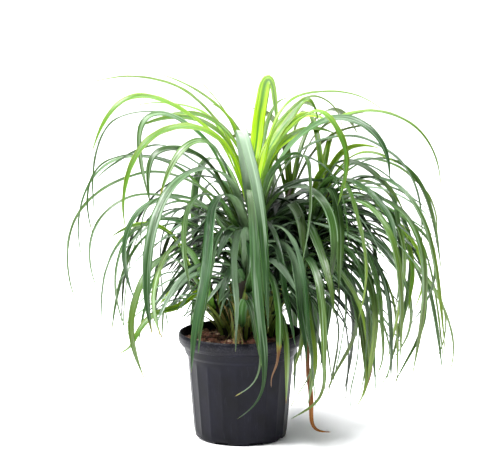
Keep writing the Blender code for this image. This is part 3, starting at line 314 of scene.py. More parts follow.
# Leaves that shape the plant's outline and front. Each has its stem and age, its width, the height of
# its root, how far its tip lies behind (+) or before (-) the pot's axis, and its route as seen from the
# front.
FRONT_LEAVES = [
    ("main", "young", 26, 470, 110,
     [(30, 585), (34, 605), (40, 664), (47, 707), (54, 747), (59, 757), (66, 750), (70, 730), (74, 695),
      (80, 640)]),
    ("main", "young", 24, 480, 75,
     [(58, 600), (86, 638), (112, 663), (137, 677), (165, 672), (190, 655)]),
    ("main", "young", 14, 462, 120,
     [(46, 603), (65, 678), (84, 707), (105, 712)]),
    ("main", "young", 20, 476, 40,
     [(53, 584), (84, 641), (112, 678), (140, 713), (152, 700), (165, 658)]),
    ("main", "young", 26, 458, -165,
     [(-20, 598), (-50, 632), (-85, 648), (-120, 652), (-150, 645), (-180, 630), (-213, 590),
      (-230, 550), (-240, 480), (-235, 430)]),
    ("main", "young", 13, 474, 70,
     [(-18, 615), (-45, 660), (-80, 700), (-120, 732), (-180, 752), (-240, 757), (-303, 746)]),
    ("main", "young", 12, 466, 20,
     [(-7, 640), (-30, 680), (-80, 722), (-120, 745), (-162, 762)]),
    ("main", "young", 11, 482, 130,
     [(-8, 635), (-28, 680), (-55, 718), (-78, 745)]),
    ("main", "young", 20, 468, -50,
     [(-40, 620), (-85, 662), (-120, 687), (-160, 707), (-200, 717), (-230, 712), (-255, 695),
      (-285, 650), (-305, 595)]),
    ("main", "young", 12, 484, 100,
     [(-45, 652), (-65, 675), (-100, 692), (-160, 701), (-200, 699), (-230, 690)]),
    ("main", "mature", 22, 436, -235,
     [(2, 655), (14, 612), (30, 550), (44, 470), (52, 380), (57, 290), (60, 215)]),
    ("main", "mature", 17, 432, 25,
     [(-40, 590), (-80, 635), (-120, 665), (-160, 682), (-210, 682), (-262, 665), (-283, 635),
      (-297, 590), (-303, 530), (-299, 455)]),
    ("main", "mature", 20, 430, -100,
     [(-60, 610), (-100, 650), (-150, 678), (-185, 677), (-203, 655), (-207, 620), (-200, 560),
      (-185, 490)]),
    ("main", "mature", 20, 420, -125,
     [(-60, 568), (-100, 598), (-155, 604), (-178, 590), (-188, 555), (-185, 490)]),
    ("main", "mature", 22, 426, -165,
     [(-45, 600), (-75, 622), (-98, 618), (-125, 593), (-150, 545), (-166, 495)]),
    ("main", "mature", 20, 404, 95,
     [(-50, 545), (-80, 568), (-120, 595), (-155, 612), (-200, 605), (-240, 583), (-280, 556),
      (-298, 536)]),
    ("main", "mature", 17, 410, -15,
     [(-60, 530), (-120, 570), (-160, 584), (-205, 591), (-250, 588), (-285, 572), (-305, 545),
      (-314, 500), (-310, 450), (-300, 412)]),
    ("main", "mature", 15, 396, 45,
     [(-50, 500), (-120, 543), (-180, 556), (-228, 544), (-275, 523), (-318, 487), (-343, 447),
      (-354, 400), (-354, 350), (-345, 300), (-330, 262)]),
    ("main", "mature", 11, 380, -60,
     [(-70, 470), (-160, 504), (-205, 507), (-245, 493), (-285, 460), (-306, 415), (-309, 370),
      (-300, 322), (-285, 288)]),
    ("main", "mature", 12, 400, 135,
     [(-120, 560), (-200, 588), (-265, 577), (-303, 542), (-325, 492), (-333, 430), (-322, 348)]),
    ("main", "mature", 20, 390, -95,
     [(-60, 478), (-110, 500), (-165, 496), (-205, 474), (-231, 430), (-238, 375), (-230, 325),
      (-214, 278)]),
    ("main", "mature", 20, 365, -150,
     [(-60, 470), (-120, 505), (-165, 502), (-192, 478), (-204, 430), (-196, 362)]),
    ("main", "mature", 18, 372, 70,
     [(-60, 440), (-120, 478), (-175, 460), (-207, 430), (-227, 390), (-232, 355), (-229, 322)]),
    ("main", "mature", 13, 350, -45,
     [(-60, 425), (-140, 458), (-195, 443), (-232, 415), (-251, 365), (-256, 320), (-248, 260),
      (-228, 206)]),
    ("main", "mature", 20, 340, 35,
     [(-80, 425), (-150, 455), (-205, 440), (-250, 400), (-274, 350), (-284, 290), (-284, 228)]),
    ("main", "mature", 26, 428, -235,
     [(-25, 545), (-60, 563), (-95, 558), (-130, 535), (-160, 490), (-180, 430), (-190, 360),
      (-190, 270), (-178, 200)]),
    ("main", "mature", 26, 412, -265,
     [(-12, 500), (-33, 511), (-52, 490), (-62, 430), (-66, 370), (-74, 310), (-86, 250), (-95, 190),
      (-99, 128)]),
    ("main", "young", 14, 456, -150,
     [(-48, 548), (-79, 565), (-104, 558), (-115, 533), (-119, 484), (-121, 420), (-125, 342)]),
    ("main", "mature", 20, 396, -215,
     [(-45, 500), (-75, 508), (-98, 492), (-110, 460), (-114, 410), (-110, 355), (-100, 304)]),
    ("main", "mature", 22, 362, -205,
     [(-10, 430), (-28, 437), (-48, 410), (-63, 330), (-77, 240), (-85, 168)]),
    ("main", "mature", 24, 340, -178,
     [(12, 420), (2, 440), (-8, 395), (-10, 350), (-4, 270), (-8, 172)]),
    ("main", "mature", 20, 420, -250,
     [(26, 500), (22, 530), (27, 480), (32, 400), (36, 320), (43, 240), (52, 160), (49, 90), (30, 56),
      (-5, 30)]),
    ("main", "mature", 20, 330, -200,
     [(30, 410), (36, 385), (40, 300), (43, 200), (42, 135), (27, 102), (-10, 78)]),
    ("main", "mature", 20, 290, -175,
     [(30, 345), (44, 357), (62, 342), (76, 295), (82, 240), (81, 180), (76, 140), (65, 120),
      (66, 97)]),
    ("main", "mature", 22, 232, -178,
     [(8, 268), (15, 286), (27, 262), (38, 200), (47, 140)]),
    ("main", "mature", 22, 400, -215,
     [(36, 432), (62, 443), (92, 434), (115, 400), (129, 350), (137, 290), (141, 230), (150, 165),
      (150, 105)]),
    ("main", "mature", 21, 372, -190,
     [(44, 396), (70, 409), (94, 402), (112, 368), (121, 320), (127, 260), (136, 190), (139, 150)]),
    ("main", "mature", 20, 350, -135,
     [(50, 395), (72, 400), (84, 362), (92, 310), (101, 262), (116, 185)]),
    ("main", "mature", 22, 426, -130,
     [(60, 535), (90, 573), (128, 590), (165, 575), (195, 545), (212, 505), (222, 450), (226, 390)]),
    ("main", "mature", 23, 424, -205,
     [(70, 560), (110, 594), (137, 592), (145, 545), (147, 490), (142, 430), (130, 360)]),
    ("main", "young", 24, 462, -150,
     [(70, 600), (120, 660), (160, 688), (182, 676), (203, 645), (218, 610), (222, 570), (214, 525),
      (203, 480)]),
    ("main", "young", 14, 456, 30,
     [(70, 590), (130, 637), (199, 669), (238, 681), (276, 685), (321, 675), (365, 650), (394, 613),
      (411, 570), (418, 514)]),
    ("main", "young", 10, 478, 110,
     [(60, 620), (90, 690), (120, 715), (164, 724), (220, 723), (263, 709), (298, 685)]),
    ("main", "young", 12, 470, 65,
     [(70, 640), (110, 690), (148, 716), (177, 709), (205, 680), (215, 640)]),
    ("main", "mature", 24, 430, -75,
     [(90, 590), (150, 650), (205, 671), (249, 660), (280, 636), (298, 610), (307, 583), (312, 533)]),
    ("main", "mature", 12, 408, 15,
     [(90, 560), (140, 610), (190, 628), (249, 630), (292, 609), (328, 584), (351, 554), (369, 510),
      (377, 450), (377, 376)]),
    ("right", "mature", 14, 425, 85,
     [(190, 540), (240, 580), (290, 580), (335, 562), (362, 538), (387, 512), (405, 470), (409, 430),
      (404, 390)]),
    ("right", "mature", 20, 422, -45,
     [(178, 540), (208, 578), (249, 571), (292, 539), (321, 505), (341, 468)]),
    ("right", "mature", 16, 352, -25,
     [(220, 420), (290, 422), (340, 378), (390, 322), (420, 270), (438, 217), (443, 172), (432, 113)]),
    ("right", "mature", 15, 400, -60,
     [(200, 480), (250, 500), (300, 482), (345, 453), (380, 424), (400, 395), (405, 355), (399, 310),
      (376, 262), (350, 225)]),
    ("right", "mature", 18, 344, 40,
     [(220, 410), (280, 438), (330, 402), (365, 350), (383, 300), (383, 250), (371, 205), (345, 155),
      (316, 98)]),
    ("right", "mature", 12, 360, 115,
     [(230, 440), (300, 425), (350, 375), (395, 320), (418, 280), (427, 240), (424, 205), (415, 172),
      (394, 142)]),
    ("right", "mature", 16, 336, -125,
     [(190, 385), (225, 370), (258, 320), (285, 265), (303, 212), (313, 165), (309, 130), (296, 105),
      (268, 81)]),
    ("right", "mature", 17, 366, -45,
     [(210, 430), (270, 422), (320, 370), (345, 312), (355, 258), (351, 220), (338, 188), (316, 156)]),
    ("right", "mature", 23, 410, -175,
     [(190, 448), (225, 435), (256, 395), (279, 340), (290, 280), (294, 225), (297, 170), (292, 140),
      (278, 113)]),
    ("right", "mature", 19, 420, -115,
     [(195, 510), (240, 545), (285, 540), (315, 510), (327, 450), (333, 385), (331, 320), (322, 262)]),
    ("right", "mature", 21, 416, -135,
     [(182, 515), (220, 540), (258, 520), (290, 490), (312, 455), (321, 410), (322, 355)]),
    ("right", "mature", 23, 416, -160,
     [(170, 520), (200, 548), (225, 520), (243, 460), (257, 400), (262, 340), (257, 290), (246, 240)]),
    ("right", "mature", 22, 404, -155,
     [(165, 500), (186, 525), (200, 490), (208, 430), (207, 360), (205, 300)]),
    ("right", "mature", 21, 345, -165,
     [(160, 382), (182, 368), (213, 336), (238, 295), (254, 250), (262, 195)]),
    ("right", "mature", 21, 396, -195,
     [(136, 455), (146, 440), (164, 396), (179, 350), (190, 300), (196, 245)]),
    ("right", "mature", 20, 420, -105,
     [(125, 480), (104, 490), (117, 476), (127, 450), (131, 415), (133, 375)]),
    ("right", "mature", 18, 322, -120,
     [(132, 350), (134, 330), (141, 260), (150, 200), (155, 155), (149, 105), (142, 62)]),
    ("right", "mature", 17, 310, -30,
     [(140, 300), (152, 240), (165, 190), (172, 155), (175, 110), (163, 72), (145, 55), (106, 30)]),
    ("right", "mature", 14, 318, -65,
     [(215, 330), (242, 270), (240, 220), (228, 185), (212, 155), (196, 125), (178, 85)]),
    ("right", "mature", 18, 330, -90,
     [(200, 370), (236, 320), (246, 250), (247, 190), (240, 135), (229, 90), (230, 52)]),
    ("right", "mature", 18, 324, -130,
     [(195, 350), (232, 300), (250, 230), (258, 170), (262, 120), (256, 82), (242, 56)]),
    ("right", "mature", 16, 316, -75,
     [(120, 310), (125, 260), (130, 210), (124, 175), (116, 150), (111, 122)]),
    ("right", "mature", 15, 314, -50,
     [(155, 300), (163, 240), (155, 170), (141, 115), (123, 86), (106, 56)]),
    ("right", "mature", 17, 328, -20,
     [(205, 350), (235, 300), (258, 240), (268, 180), (272, 130), (258, 82)]),
    ("right", "young", 17, 456, -80,
     [(200, 500), (250, 510), (300, 468), (335, 430), (350, 395), (358, 345), (354, 300), (348, 255)]),
    ("right", "young", 15, 462, -10,
     [(205, 520), (270, 510), (325, 450), (357, 408), (375, 370), (380, 335), (374, 295), (358, 255)]),
    ("right", "young", 20, 470, -30,
     [(160, 530), (176, 560), (200, 568), (228, 545)]),
    ("left", "mature", 21, 262, -190,
     [(-95, 375), (-125, 402), (-150, 380), (-168, 335), (-178, 280), (-168, 225), (-156, 192)]),
    ("left", "mature", 19, 256, -130,
     [(-110, 350), (-150, 378), (-188, 345), (-213, 288), (-224, 230), (-216, 172), (-195, 113)]),
    ("left", "young", 17, 300, -65,
     [(-76, 306), (-90, 297), (-109, 280), (-133, 265), (-160, 259), (-182, 248), (-208, 216), (-224, 184),
      (-253, 166)]),
    ("left", "young", 14, 306, 30,
     [(-90, 335), (-120, 320), (-148, 292), (-168, 270)]),
]

# How far (degrees) these leaves are rolled at their roots and at their tips, each named by the first point
# of its route, so that they look as wide as in the front view. The others are not rolled at their roots,
# and their rolls at their tips are drawn.
ROOT_ROLLS = {
    (-20, 598): -75, (58, 600): 70, (53, 584): 40, (-60, 568): -60, (-45, 600): -50, (-60, 610): -40,
    (90, 590): 40, (60, 535): 40, (70, 560): 35,
}
ROLLS = {
    (30, 585): 55, (58, 600): 15, (53, 584): 30, (-20, 598): -20, (-18, 615): -15, (-7, 640): -15,
    (-8, 635): 75, (-40, 620): -55, (-45, 652): 10, (2, 655): 0, (-60, 610): -50, (-60, 568): -58,
    (-45, 600): -60, (-50, 545): 30, (-60, 530): 20, (-50, 500): -55, (-70, 470): -45, (-120, 560): -60,
    (-60, 478): -45, (-60, 425): -42, (-80, 425): -35, (-40, 590): 12, (-25, 545): -45, (-12, 500): -30,
    (26, 500): 0, (70, 600): 40, (70, 590): 38, (60, 620): 15, (70, 640): 20, (90, 590): 55, (90, 560): 45,
    (190, 540): 45, (178, 540): 55, (220, 420): 28, (200, 480): 32, (230, 440): 65, (195, 510): 40,
    (200, 500): 55, (182, 515): 35, (210, 430): 35, (-95, 375): 0, (-110, 350): -50,
    (-48, 548): 20, (-45, 500): -20,
}

# The dry leaf beside the pot: it hangs from the right stem and its tip lies by the floor
DEAD_LEAF = ("right", "dead", 15, 285, 5,
             [(120, 295), (136, 260), (139, 195), (141, 130), (147, 85), (148, 45), (149, 20), (158, 6),
              (190, 3)])

# Leaves placed by a rule, for each stem: how many, the heights of their roots, the compass sector that
# they fill (degrees, 0 is +X and 90 is +Y, away from the front), their length and their width
FILL = [
    ("main", "mature", 24, (300, 428), (-50, 235), (380, 580), (16, 21)),
    ("main", "young", 6, (475, 500), (20, 200), (280, 400), (14, 18)),
    ("right", "mature", 18, (250, 410), (-75, 115), (440, 640), (12, 17)),
    ("right", "mature", 10, (340, 425), (-50, 40), (520, 640), (13, 18)),
    ("right", "young", 4, (466, 490), (-60, 200), (200, 380), (12, 16)),
    ("left", "mature", 11, (240, 278), (85, 250), (230, 430), (16, 21)),
    ("left", "young", 3, (308, 328), (60, 240), (180, 300), (12, 15)),
    ("back", "mature", 22, (260, 430), (-30, 200), (400, 600), (15, 20)),
    ("back", "young", 6, (475, 505), (0, 180), (240, 360), (14, 18)),
]
GOLDEN_ANGLE = 137.508

# How such a leaf grows: the angle at which it rises, the angle to which it falls, the share of its
# length where it bends and how softly. Each is a value, its change up the stem, and the span of a draw
# that is added.
HABITS = {
    "mature": {"rise": (28, 40, (-8, 8)), "fall": (-84, 0, (-22, 6)), "bend": (0.30, 0.10, (-0.05, 0.05)),
               "softness": (0.10, 0, (0, 0.05))},
    "young": {"rise": (74, 0, (-8, 6)), "fall": (10, 0, (-70, 0)), "bend": (0.6, 0, (0, 0)),
              "softness": (0.16, 0, (0, 0))},
}
SHORTER = (1.0, 0.85, 0.7, 0.58, 0.48)

# Spans that the headings of the leaves placed by a rule, their blades' roll at the tips and their sway are
# drawn from (degrees). A front leaf that hangs at the side rolls more than one that reaches toward or away
# from the front.
FILL_HEADING, FILL_ROLL, FILL_SWAY = (-8, 8), (-35, 35), (-22, 22)
SIDE_ROLL, FACING_ROLL, FACING_DEPTH = (10, 60), (0, 30), 200

# Clasping leaf bases on the old wood: how many, where, which way, and how they rise, fall, bend and
# soften
SHEATHS = {"main": 7, "right": 5, "left": 4, "back": 4}
SHEATH_LOWEST, SHEATH_BELOW_TOP = SOIL_TOP + 12, 58
SHEATH_LENGTH, SHEATH_WIDTHS, SHEATH_HEADING = 62, (24, 20), 40
SHEATH_HABIT = (84, 66, 0.5, 0.2)


def stem_centre(stem, height):
    """Where the stem's axis is at a height: upright in the soil, then a smooth lean to its top and
    beyond."""
    foot, top = STEMS[stem]["foot"], STEMS[stem]["top"]
    share = max(0.0, (height - LEAN_FROM) / (top[2] - LEAN_FROM)) ** LEAN_EASE
    return np.array([foot[0] + (top[0] - foot[0]) * share, foot[1] + (top[1] - foot[1]) * share, height])


def stem_radius(stem, height):
    """The stem's radius at a height: it narrows from the soil to the top of the old wood."""
    foot_radius, top_radius = STEMS[stem]["radii"]
    share = np.clip((height - LEAN_FROM) / (STEMS[stem]["top"][2] - LEAN_FROM), 0, 1)
    return foot_radius + (top_radius - foot_radius) * share


def core_radius(stem, height):
    """The radius of what a leaf is rooted in at a height: the stem, or above it the bud."""
    top = STEMS[stem]["top"][2]
    if height <= top:
        return stem_radius(stem, height)
    return STEMS[stem]["radii"][1] * np.interp((height - top) / BUD_HEIGHT, BUD_HEIGHTS, BUD_RADII)


def column(stem, heights, radii):
    """Points and faces of a closed column along the stem's axis. Its rings have each height and radius, and
    its ends close on a point of the axis."""
    angles = np.arange(STEM_SIDES) * 2 * np.pi / STEM_SIDES
    points = []
    for height, radius in zip(heights, radii):
        x, y, _ = stem_centre(stem, height)
        points.extend((radius * np.cos(angle) + x, radius * np.sin(angle) + y, height) for angle in angles)
    faces = grid_faces(len(heights), STEM_SIDES)
    faces += fan(0, STEM_SIDES, len(points), outward=False)
    faces += fan(len(points) - STEM_SIDES, STEM_SIDES, len(points) + 1)
    return np.array([*points, stem_centre(stem, heights[0]), stem_centre(stem, heights[-1])]), faces


def stem_column(stem):
    """The woody stem from its foot in the soil to the top of the old wood."""
    top = STEMS[stem]["top"][2]
    heights = [SOIL_TOP - STEM_DEPTH, *np.linspace(LEAN_FROM, top, STEM_RINGS)]
    return column(stem, heights, [stem_radius(stem, height) for height in heights])


def bud_column(stem):
    """The bud that the young leaves grow from, standing a gap above the old wood."""
    low = STEMS[stem]["top"][2] + GAP
    heights = [low + share * BUD_HEIGHT for share in BUD_HEIGHTS]
    return column(stem, heights, [STEMS[stem]["radii"][1] * share for share in BUD_RADII])


def seen_at(x, z, depth):
    """The place at a depth behind the pot's axis that the eye sees at (x, z) on its sheet."""
    up = (z - SEEN_MIDDLE) * SEEN_TALL
    middle = EYE_HEIGHT - EYE_BACK * np.tan(EYE_PITCH)
    across = (x - SEEN_AXIS) * SEEN_WIDE
    sheet = np.stack([across, up * np.sin(EYE_PITCH), middle + up * np.cos(EYE_PITCH)], axis=-1)
    eye = np.array([0, -EYE_BACK, EYE_HEIGHT])
    share = (depth + EYE_BACK) / (sheet[:, 1] + EYE_BACK)
    return eye + (sheet - eye) * share[:, None]


def as_seen(points):
    """Where on its sheet the eye sees the points, as (x, z)."""
    x, y, z = (points - (0, -EYE_BACK, EYE_HEIGHT)).T
    ahead = y * np.cos(EYE_PITCH) - z * np.sin(EYE_PITCH)
    up = y * np.sin(EYE_PITCH) + z * np.cos(EYE_PITCH)
    share = EYE_BACK / np.cos(EYE_PITCH) / ahead
    return SEEN_AXIS + x * share / SEEN_WIDE, SEEN_MIDDLE + up * share / SEEN_TALL


def smooth(points, count):
    """An even polyline of count points on a smooth curve through the given ones: cubic pieces whose
    slopes come from their neighbours, with knots spaced by the square root of the distance."""
    points = np.asarray(points, float)
    knots = np.concatenate([[0], np.cumsum(np.linalg.norm(np.diff(points, axis=0), axis=1) ** 0.5)])
    slopes = np.gradient(points, knots, axis=0)
    at = np.linspace(0, knots[-1], count * 4)
    piece = np.clip(np.searchsorted(knots, at, side="right") - 1, 0, len(knots) - 2)
    step = (knots[piece + 1] - knots[piece])[:, None]
    u = (at - knots[piece])[:, None] / step
    start, end = points[piece], points[piece + 1]
    curve = ((2 * u**3 - 3 * u**2 + 1) * start + (u**3 - 2 * u**2 + u) * step * slopes[piece]
             + (3 * u**2 - 2 * u**3) * end + (u**3 - u**2) * step * slopes[piece + 1])
    return evenly(curve, np.linspace(0, 1, count))


def lengths(route):
    """The distance along a polyline to each of its points."""
    return np.concatenate([[0], np.cumsum(np.linalg.norm(np.diff(route, axis=0), axis=1))])


def evenly(route, shares):
    """Points at the given shares of a polyline's length."""
    along = lengths(route)
    at = np.asarray(shares) * along[-1]
    return np.stack([np.interp(at, along, route[:, i]) for i in range(3)], axis=-1)


def root_place(stem, height, heading):
    """Where a leaf's root lies: just under the stem's surface, on the side that the leaf heads for."""
    heading = np.asarray(heading, float)
    heading = heading / (np.linalg.norm(heading) + 1e-9)
    off = ROOT_OFF * heading * core_radius(stem, height)
    return stem_centre(stem, height) + (off[0], off[1], 0)


def front_route(stem, root_height, tip_depth, seen, bulge):
    """A leaf's route from the places where the front view shows it. Its depth eases from the stem to
    the tip, as a leaf does that arches out and then hangs, with a bulge on the way."""
    seen = np.array(seen, float)
    middle = stem_centre(stem, root_height)
    root = root_place(stem, root_height, (seen[len(seen) // 2, 0] - middle[0], tip_depth - middle[1]))
    flat = np.concatenate([np.transpose(as_seen(root[None])), seen])
    share = lengths(flat) / lengths(flat)[-1]
    eased = 1 - (1 - share) ** DEPTH_EASE
    depth = root[1] + (tip_depth - root[1]) * eased + bulge * np.sin(np.pi * share)
    route = smooth(seen_at(flat[:, 0], flat[:, 1], depth), STATIONS)
    for _ in range(SMOOTHINGS):
        route[1:-1] = (route[:-2] + 2 * route[1:-1] + route[2:]) / 4
    return route


def free_route(stem, root_height, heading, length, rise, fall, bend, softness, sway):
    """A leaf's route by rule: it leaves the stem at the rise angle, and its slope turns to the fall
    angle around the bend, which is a share of its length; sway turns its heading on the way."""
    share = np.linspace(0, 1, STATIONS)
    turn = 1 / (1 + np.exp(-(share - bend) / softness))
    turn = (turn - turn[0]) / (turn[-1] - turn[0])
    slope = np.radians(rise + (fall - rise) * turn)
    compass = np.radians(heading + sway * share**2)
    step = length / (STATIONS - 1)
    level = np.cos(slope)
    moves = np.stack([level * np.cos(compass), level * np.sin(compass), np.sin(slope)], axis=-1)
    route = np.concatenate([np.zeros((1, 3)), np.cumsum(moves[:-1] * step, axis=0)])
    return root_place(stem, root_height, moves[0, :2]) + route


def blade_frame(route, roll):
    """Unit vectors across the leaf and out of its upper face. Across starts level, square to the way
    that the leaf reaches out, and is carried along the route without turning about it; roll gives the
    degrees that the blade is then turned about its own length, at its root and at its tip."""
    ahead = np.gradient(route, axis=0)
    ahead /= np.linalg.norm(ahead, axis=1, keepdims=True)
    reach = route[int(REACH_SHARE * len(route)), :2] - route[0, :2]
    across = np.zeros_like(route)
    across[0] = (-reach[1], reach[0], 0)
    for station in range(len(route)):
        carried = across[max(station - 1, 0)]
        carried = carried - ahead[station] * np.dot(carried, ahead[station])
        across[station] = carried / np.linalg.norm(carried)
    out = np.cross(ahead, across)
    share = np.linspace(0, 1, len(route))[:, None]
    turn = np.radians(roll[0] * (1 - share) ** 2 + roll[1] * share ** ROLL_EASE)
    return across * np.cos(turn) + out * np.sin(turn), out * np.cos(turn) - across * np.sin(turn)


def blade_width(share, ease=POINT_EASE):
    """Width along the leaf as a share of its widest: a narrow root, a long parallel blade and a fine
    point."""
    point = 1 - np.clip((share - POINT_FROM) / (1 - POINT_FROM), 0, 1) ** ease
    return np.interp(share, WIDTH_SHARES, WIDTH_PARTS) * point


def leaf_rings(route, width, roll, shares):
    """Along the leaf at the given shares of its length: the middle, the unit vectors across and out,
    and how far the edges and the keel stand off the middle."""
    at = np.asarray(shares) * (len(route) - 1)
    stations = np.arange(len(route))
    parts = []
    for part in (route, *blade_frame(route, roll)):
        values = [np.interp(at, stations, part[:, i]) for i in range(3)]
        parts.append(np.stack(values, axis=-1)[:, None])
    middle, across, out = parts
    half = width * blade_width(np.asarray(shares)) / 2
    keel = np.interp(shares, KEEL_SHARES, KEEL_DEPTHS)
    return middle, across, out, half, keel


def closed_loft(rings, tip):
    """Points and faces of a solid with a flat root, equal rings of points, and a pointed tip."""
    count, sides = rings.shape[:2]
    points = np.concatenate([rings.reshape(-1, 3), [tip]])
    faces = [tuple(reversed(range(sides)))]
    for low in range(0, (count - 1) * sides, sides):
        for j in range(sides):
            k = (j + 1) % sides
            faces.append((low + j, low + k, low + sides + k))
            faces.append((low + j, low + sides + k, low + sides + j))
    last = (count - 1) * sides
    for j in range(sides):
        faces.append((last + j, last + (j + 1) % sides, len(points) - 1))
    return points, faces


def leaf_solid(route, width, roll, rings=LEAF_RINGS):
    """Points and faces of a keeled leaf: rings of left edge, keel and right edge, ending in a point."""
    middle, across, out, half, keel = leaf_rings(route, width, roll, rings)
    sideways = np.stack([-half, 0 * half, half], axis=-1)[..., None]
    outward = np.stack([0 * half, -keel, 0 * half], axis=-1)[..., None]
    return closed_loft(middle + across * sideways + out * outward, route[-1])


def leaf_guard(route, width, roll, rings=LEAF_RINGS):
    """The leaf solid grown all round by the clearance, for testing where it has room."""
    middle, across, out, half, keel = leaf_rings(route, width, roll, rings)
    half, keel, clear = half + CLEAR, keel + CLEAR, CLEAR + 0 * half
    sideways = np.stack([-half, -half, 0 * half, half, half], axis=-1)[..., None]
    outward = np.stack([clear, -clear, -keel, -clear, clear], axis=-1)[..., None]
    tip = route[-1] + (route[-1] - route[-2]) * GUARD_TIP
    return closed_loft(middle + across * sideways + out * outward, tip)


Leaf = collections.namedtuple("Leaf", "node stem kind route width roll first")


class Placed:
    """A shape that already stands somewhere: its node, its box and its search tree."""

    def __init__(self, node, points, faces):
        self.node = node
        self.low, self.high = np.min(points, axis=0), np.max(points, axis=0)
        self.tree = BVHTree.FromPolygons(np.asarray(points).tolist(), faces)

    def meets(self, other):
        """Whether the two shapes touch."""
        apart = np.any(self.low > other.high) or np.any(other.low > self.high)
        return not apart and bool(self.tree.overlap(other.tree))


def turned_about(route, root, degrees):
    """The route swung about the upright line through its root."""
    angle = np.radians(degrees)
    x, y = route[:, 0] - root[0], route[:, 1] - root[1]
    return np.stack([root[0] + x * np.cos(angle) - y * np.sin(angle),
                     root[1] + x * np.sin(angle) + y * np.cos(angle), route[:, 2]], axis=-1)


def place_leaf(node, routes, width, roll, standing, blades, rings=LEAF_RINGS):
    """Try a leaf's routes in turn until one is clear of every other node, and if it can be of the other
    leaves of its own node past their roots. Gives that route, or nothing if there is no room for the
    leaf."""
    second_choice = None
    for route in routes:
        points, faces = leaf_guard(route, width, roll, rings)
        if points[:, 2].min() < LOWEST:
            continue
        whole = Placed(node, points, faces)
        if any(whole.meets(other) for other in standing if other.node != node):
            continue
        start = int(ROOT_SHARE * len(route))
        blade = Placed(node, *leaf_guard(route[start:], width, roll))
        if not any(blade.meets(other) for other in blades if other.node == node):
            return keep_leaf(node, route, width, roll, standing, blades, rings)
        if second_choice is None:
            second_choice = route
    if second_choice is None:
        return None
    return keep_leaf(node, second_choice, width, roll, standing, blades, rings)


def swung_routes(route):
    """The route swung about the upright line through its root, in small steps either way."""
    for degrees in TURNS:
        yield turned_about(route, route[0], degrees)


def in_outline(route):
    """Whether a leaf keeps within the plant's outline as the front view shows it."""
    x, z = as_seen(route)
    hidden = (route[:, 1] > BEHIND_POT) & (np.abs(x) < POT_HALF_SEEN)
    above = hidden | (z > np.interp(x, *zip(*HEM)))
    below = z < np.interp(x, *zip(*CROWN), left=0, right=0)
    return bool(np.all(above & below))


def front_routes(stem, age, root_height, tip_depth, seen):
    """The same front view at other depths, the least changed first, and of the dead leaf also with more
    and more lost at its root."""
    changes = [(shift, bulge) for shift in TIP_SHIFTS for bulge in BULGES]
    changes.sort(key=lambda change: (abs(change[0]) + BULGE_WEIGHT * abs(change[1]), change))
    for shift, bulge in changes:
        route = front_route(stem, root_height, tip_depth + shift, seen, bulge)
        if age != "dead":
            yield route
            continue
        for lost in DEAD_LOST:
            yield evenly(route, np.linspace(lost, 1, STATIONS))


def keep_leaf(node, route, width, roll, standing, blades, rings):
    """Enter a placed leaf in the lists that later leaves are tested against, and give its route."""
    standing.append(Placed(node, *leaf_solid(route, width, roll, rings=rings)))
    start = int(ROOT_SHARE * len(route))
    blades.append(Placed(node, *leaf_solid(route[start:], width, roll)))
    return route


def node_of(stem, age):
    """The node that a leaf belongs to."""
    return {"mature": f"{stem}_stem", "young": f"{stem}_young_tuft", "dead": "dead_leaf"}[age]


def solid_points(thing):
    """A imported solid's points in millimetres and its faces."""
    points = np.zeros(len(thing.data.vertices) * 3)
    thing.data.vertices.foreach_get("co", points)
    return points.reshape(-1, 3) / MM, [list(face.vertices) for face in thing.data.polygons]


def grow_leaves():
    """Every leaf that the solids have, in the order in which they were grown."""
    rng = random.Random(SEED)
    standing = [Placed(name, *solid_points(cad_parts[name])) for name in ("pot", "soil")]
    blades = []
    for stem in STEMS:
        standing.append(Placed(f"{stem}_stem", *stem_column(stem)))
        standing.append(Placed(f"{stem}_young_tuft", *bud_column(stem)))
    grown = []
    for stem in STEMS:
        node = node_of(stem, "mature")
        for route, width in sheath_leaves(stem):
            route = place_leaf(node, swung_routes(route), width, (0, 0), standing, blades, SHEATH_RINGS)
            if route is not None:
                grown.append(Leaf(node, stem, "sheath", route, width, (0, 0), None))
    for stem, age, width, root_height, tip_depth, seen in [*FRONT_LEAVES, DEAD_LEAF]:
        routes = front_routes(stem, age, root_height, tip_depth, seen)
        facing = min(abs(tip_depth) / FACING_DEPTH, 1)
        roll = rng.uniform(*SIDE_ROLL) * (1 - facing) + rng.uniform(*FACING_ROLL) * facing
        roll *= rng.choice((-1, 1))
        roll = (ROOT_ROLLS.get(seen[0], 0), ROLLS.get(seen[0], roll))
        route = place_leaf(node_of(stem, age), routes, width, roll, standing, blades)
        if route is not None:
            grown.append(Leaf(node_of(stem, age), stem, age, route, width, roll, seen[0]))
    for row in FILL:
        stem, age, count = row[:3]
        for number in range(count):
            leaf = fill_leaf(row, number, rng, standing, blades)
            if leaf is not None:
                grown.append(leaf)
    return grown


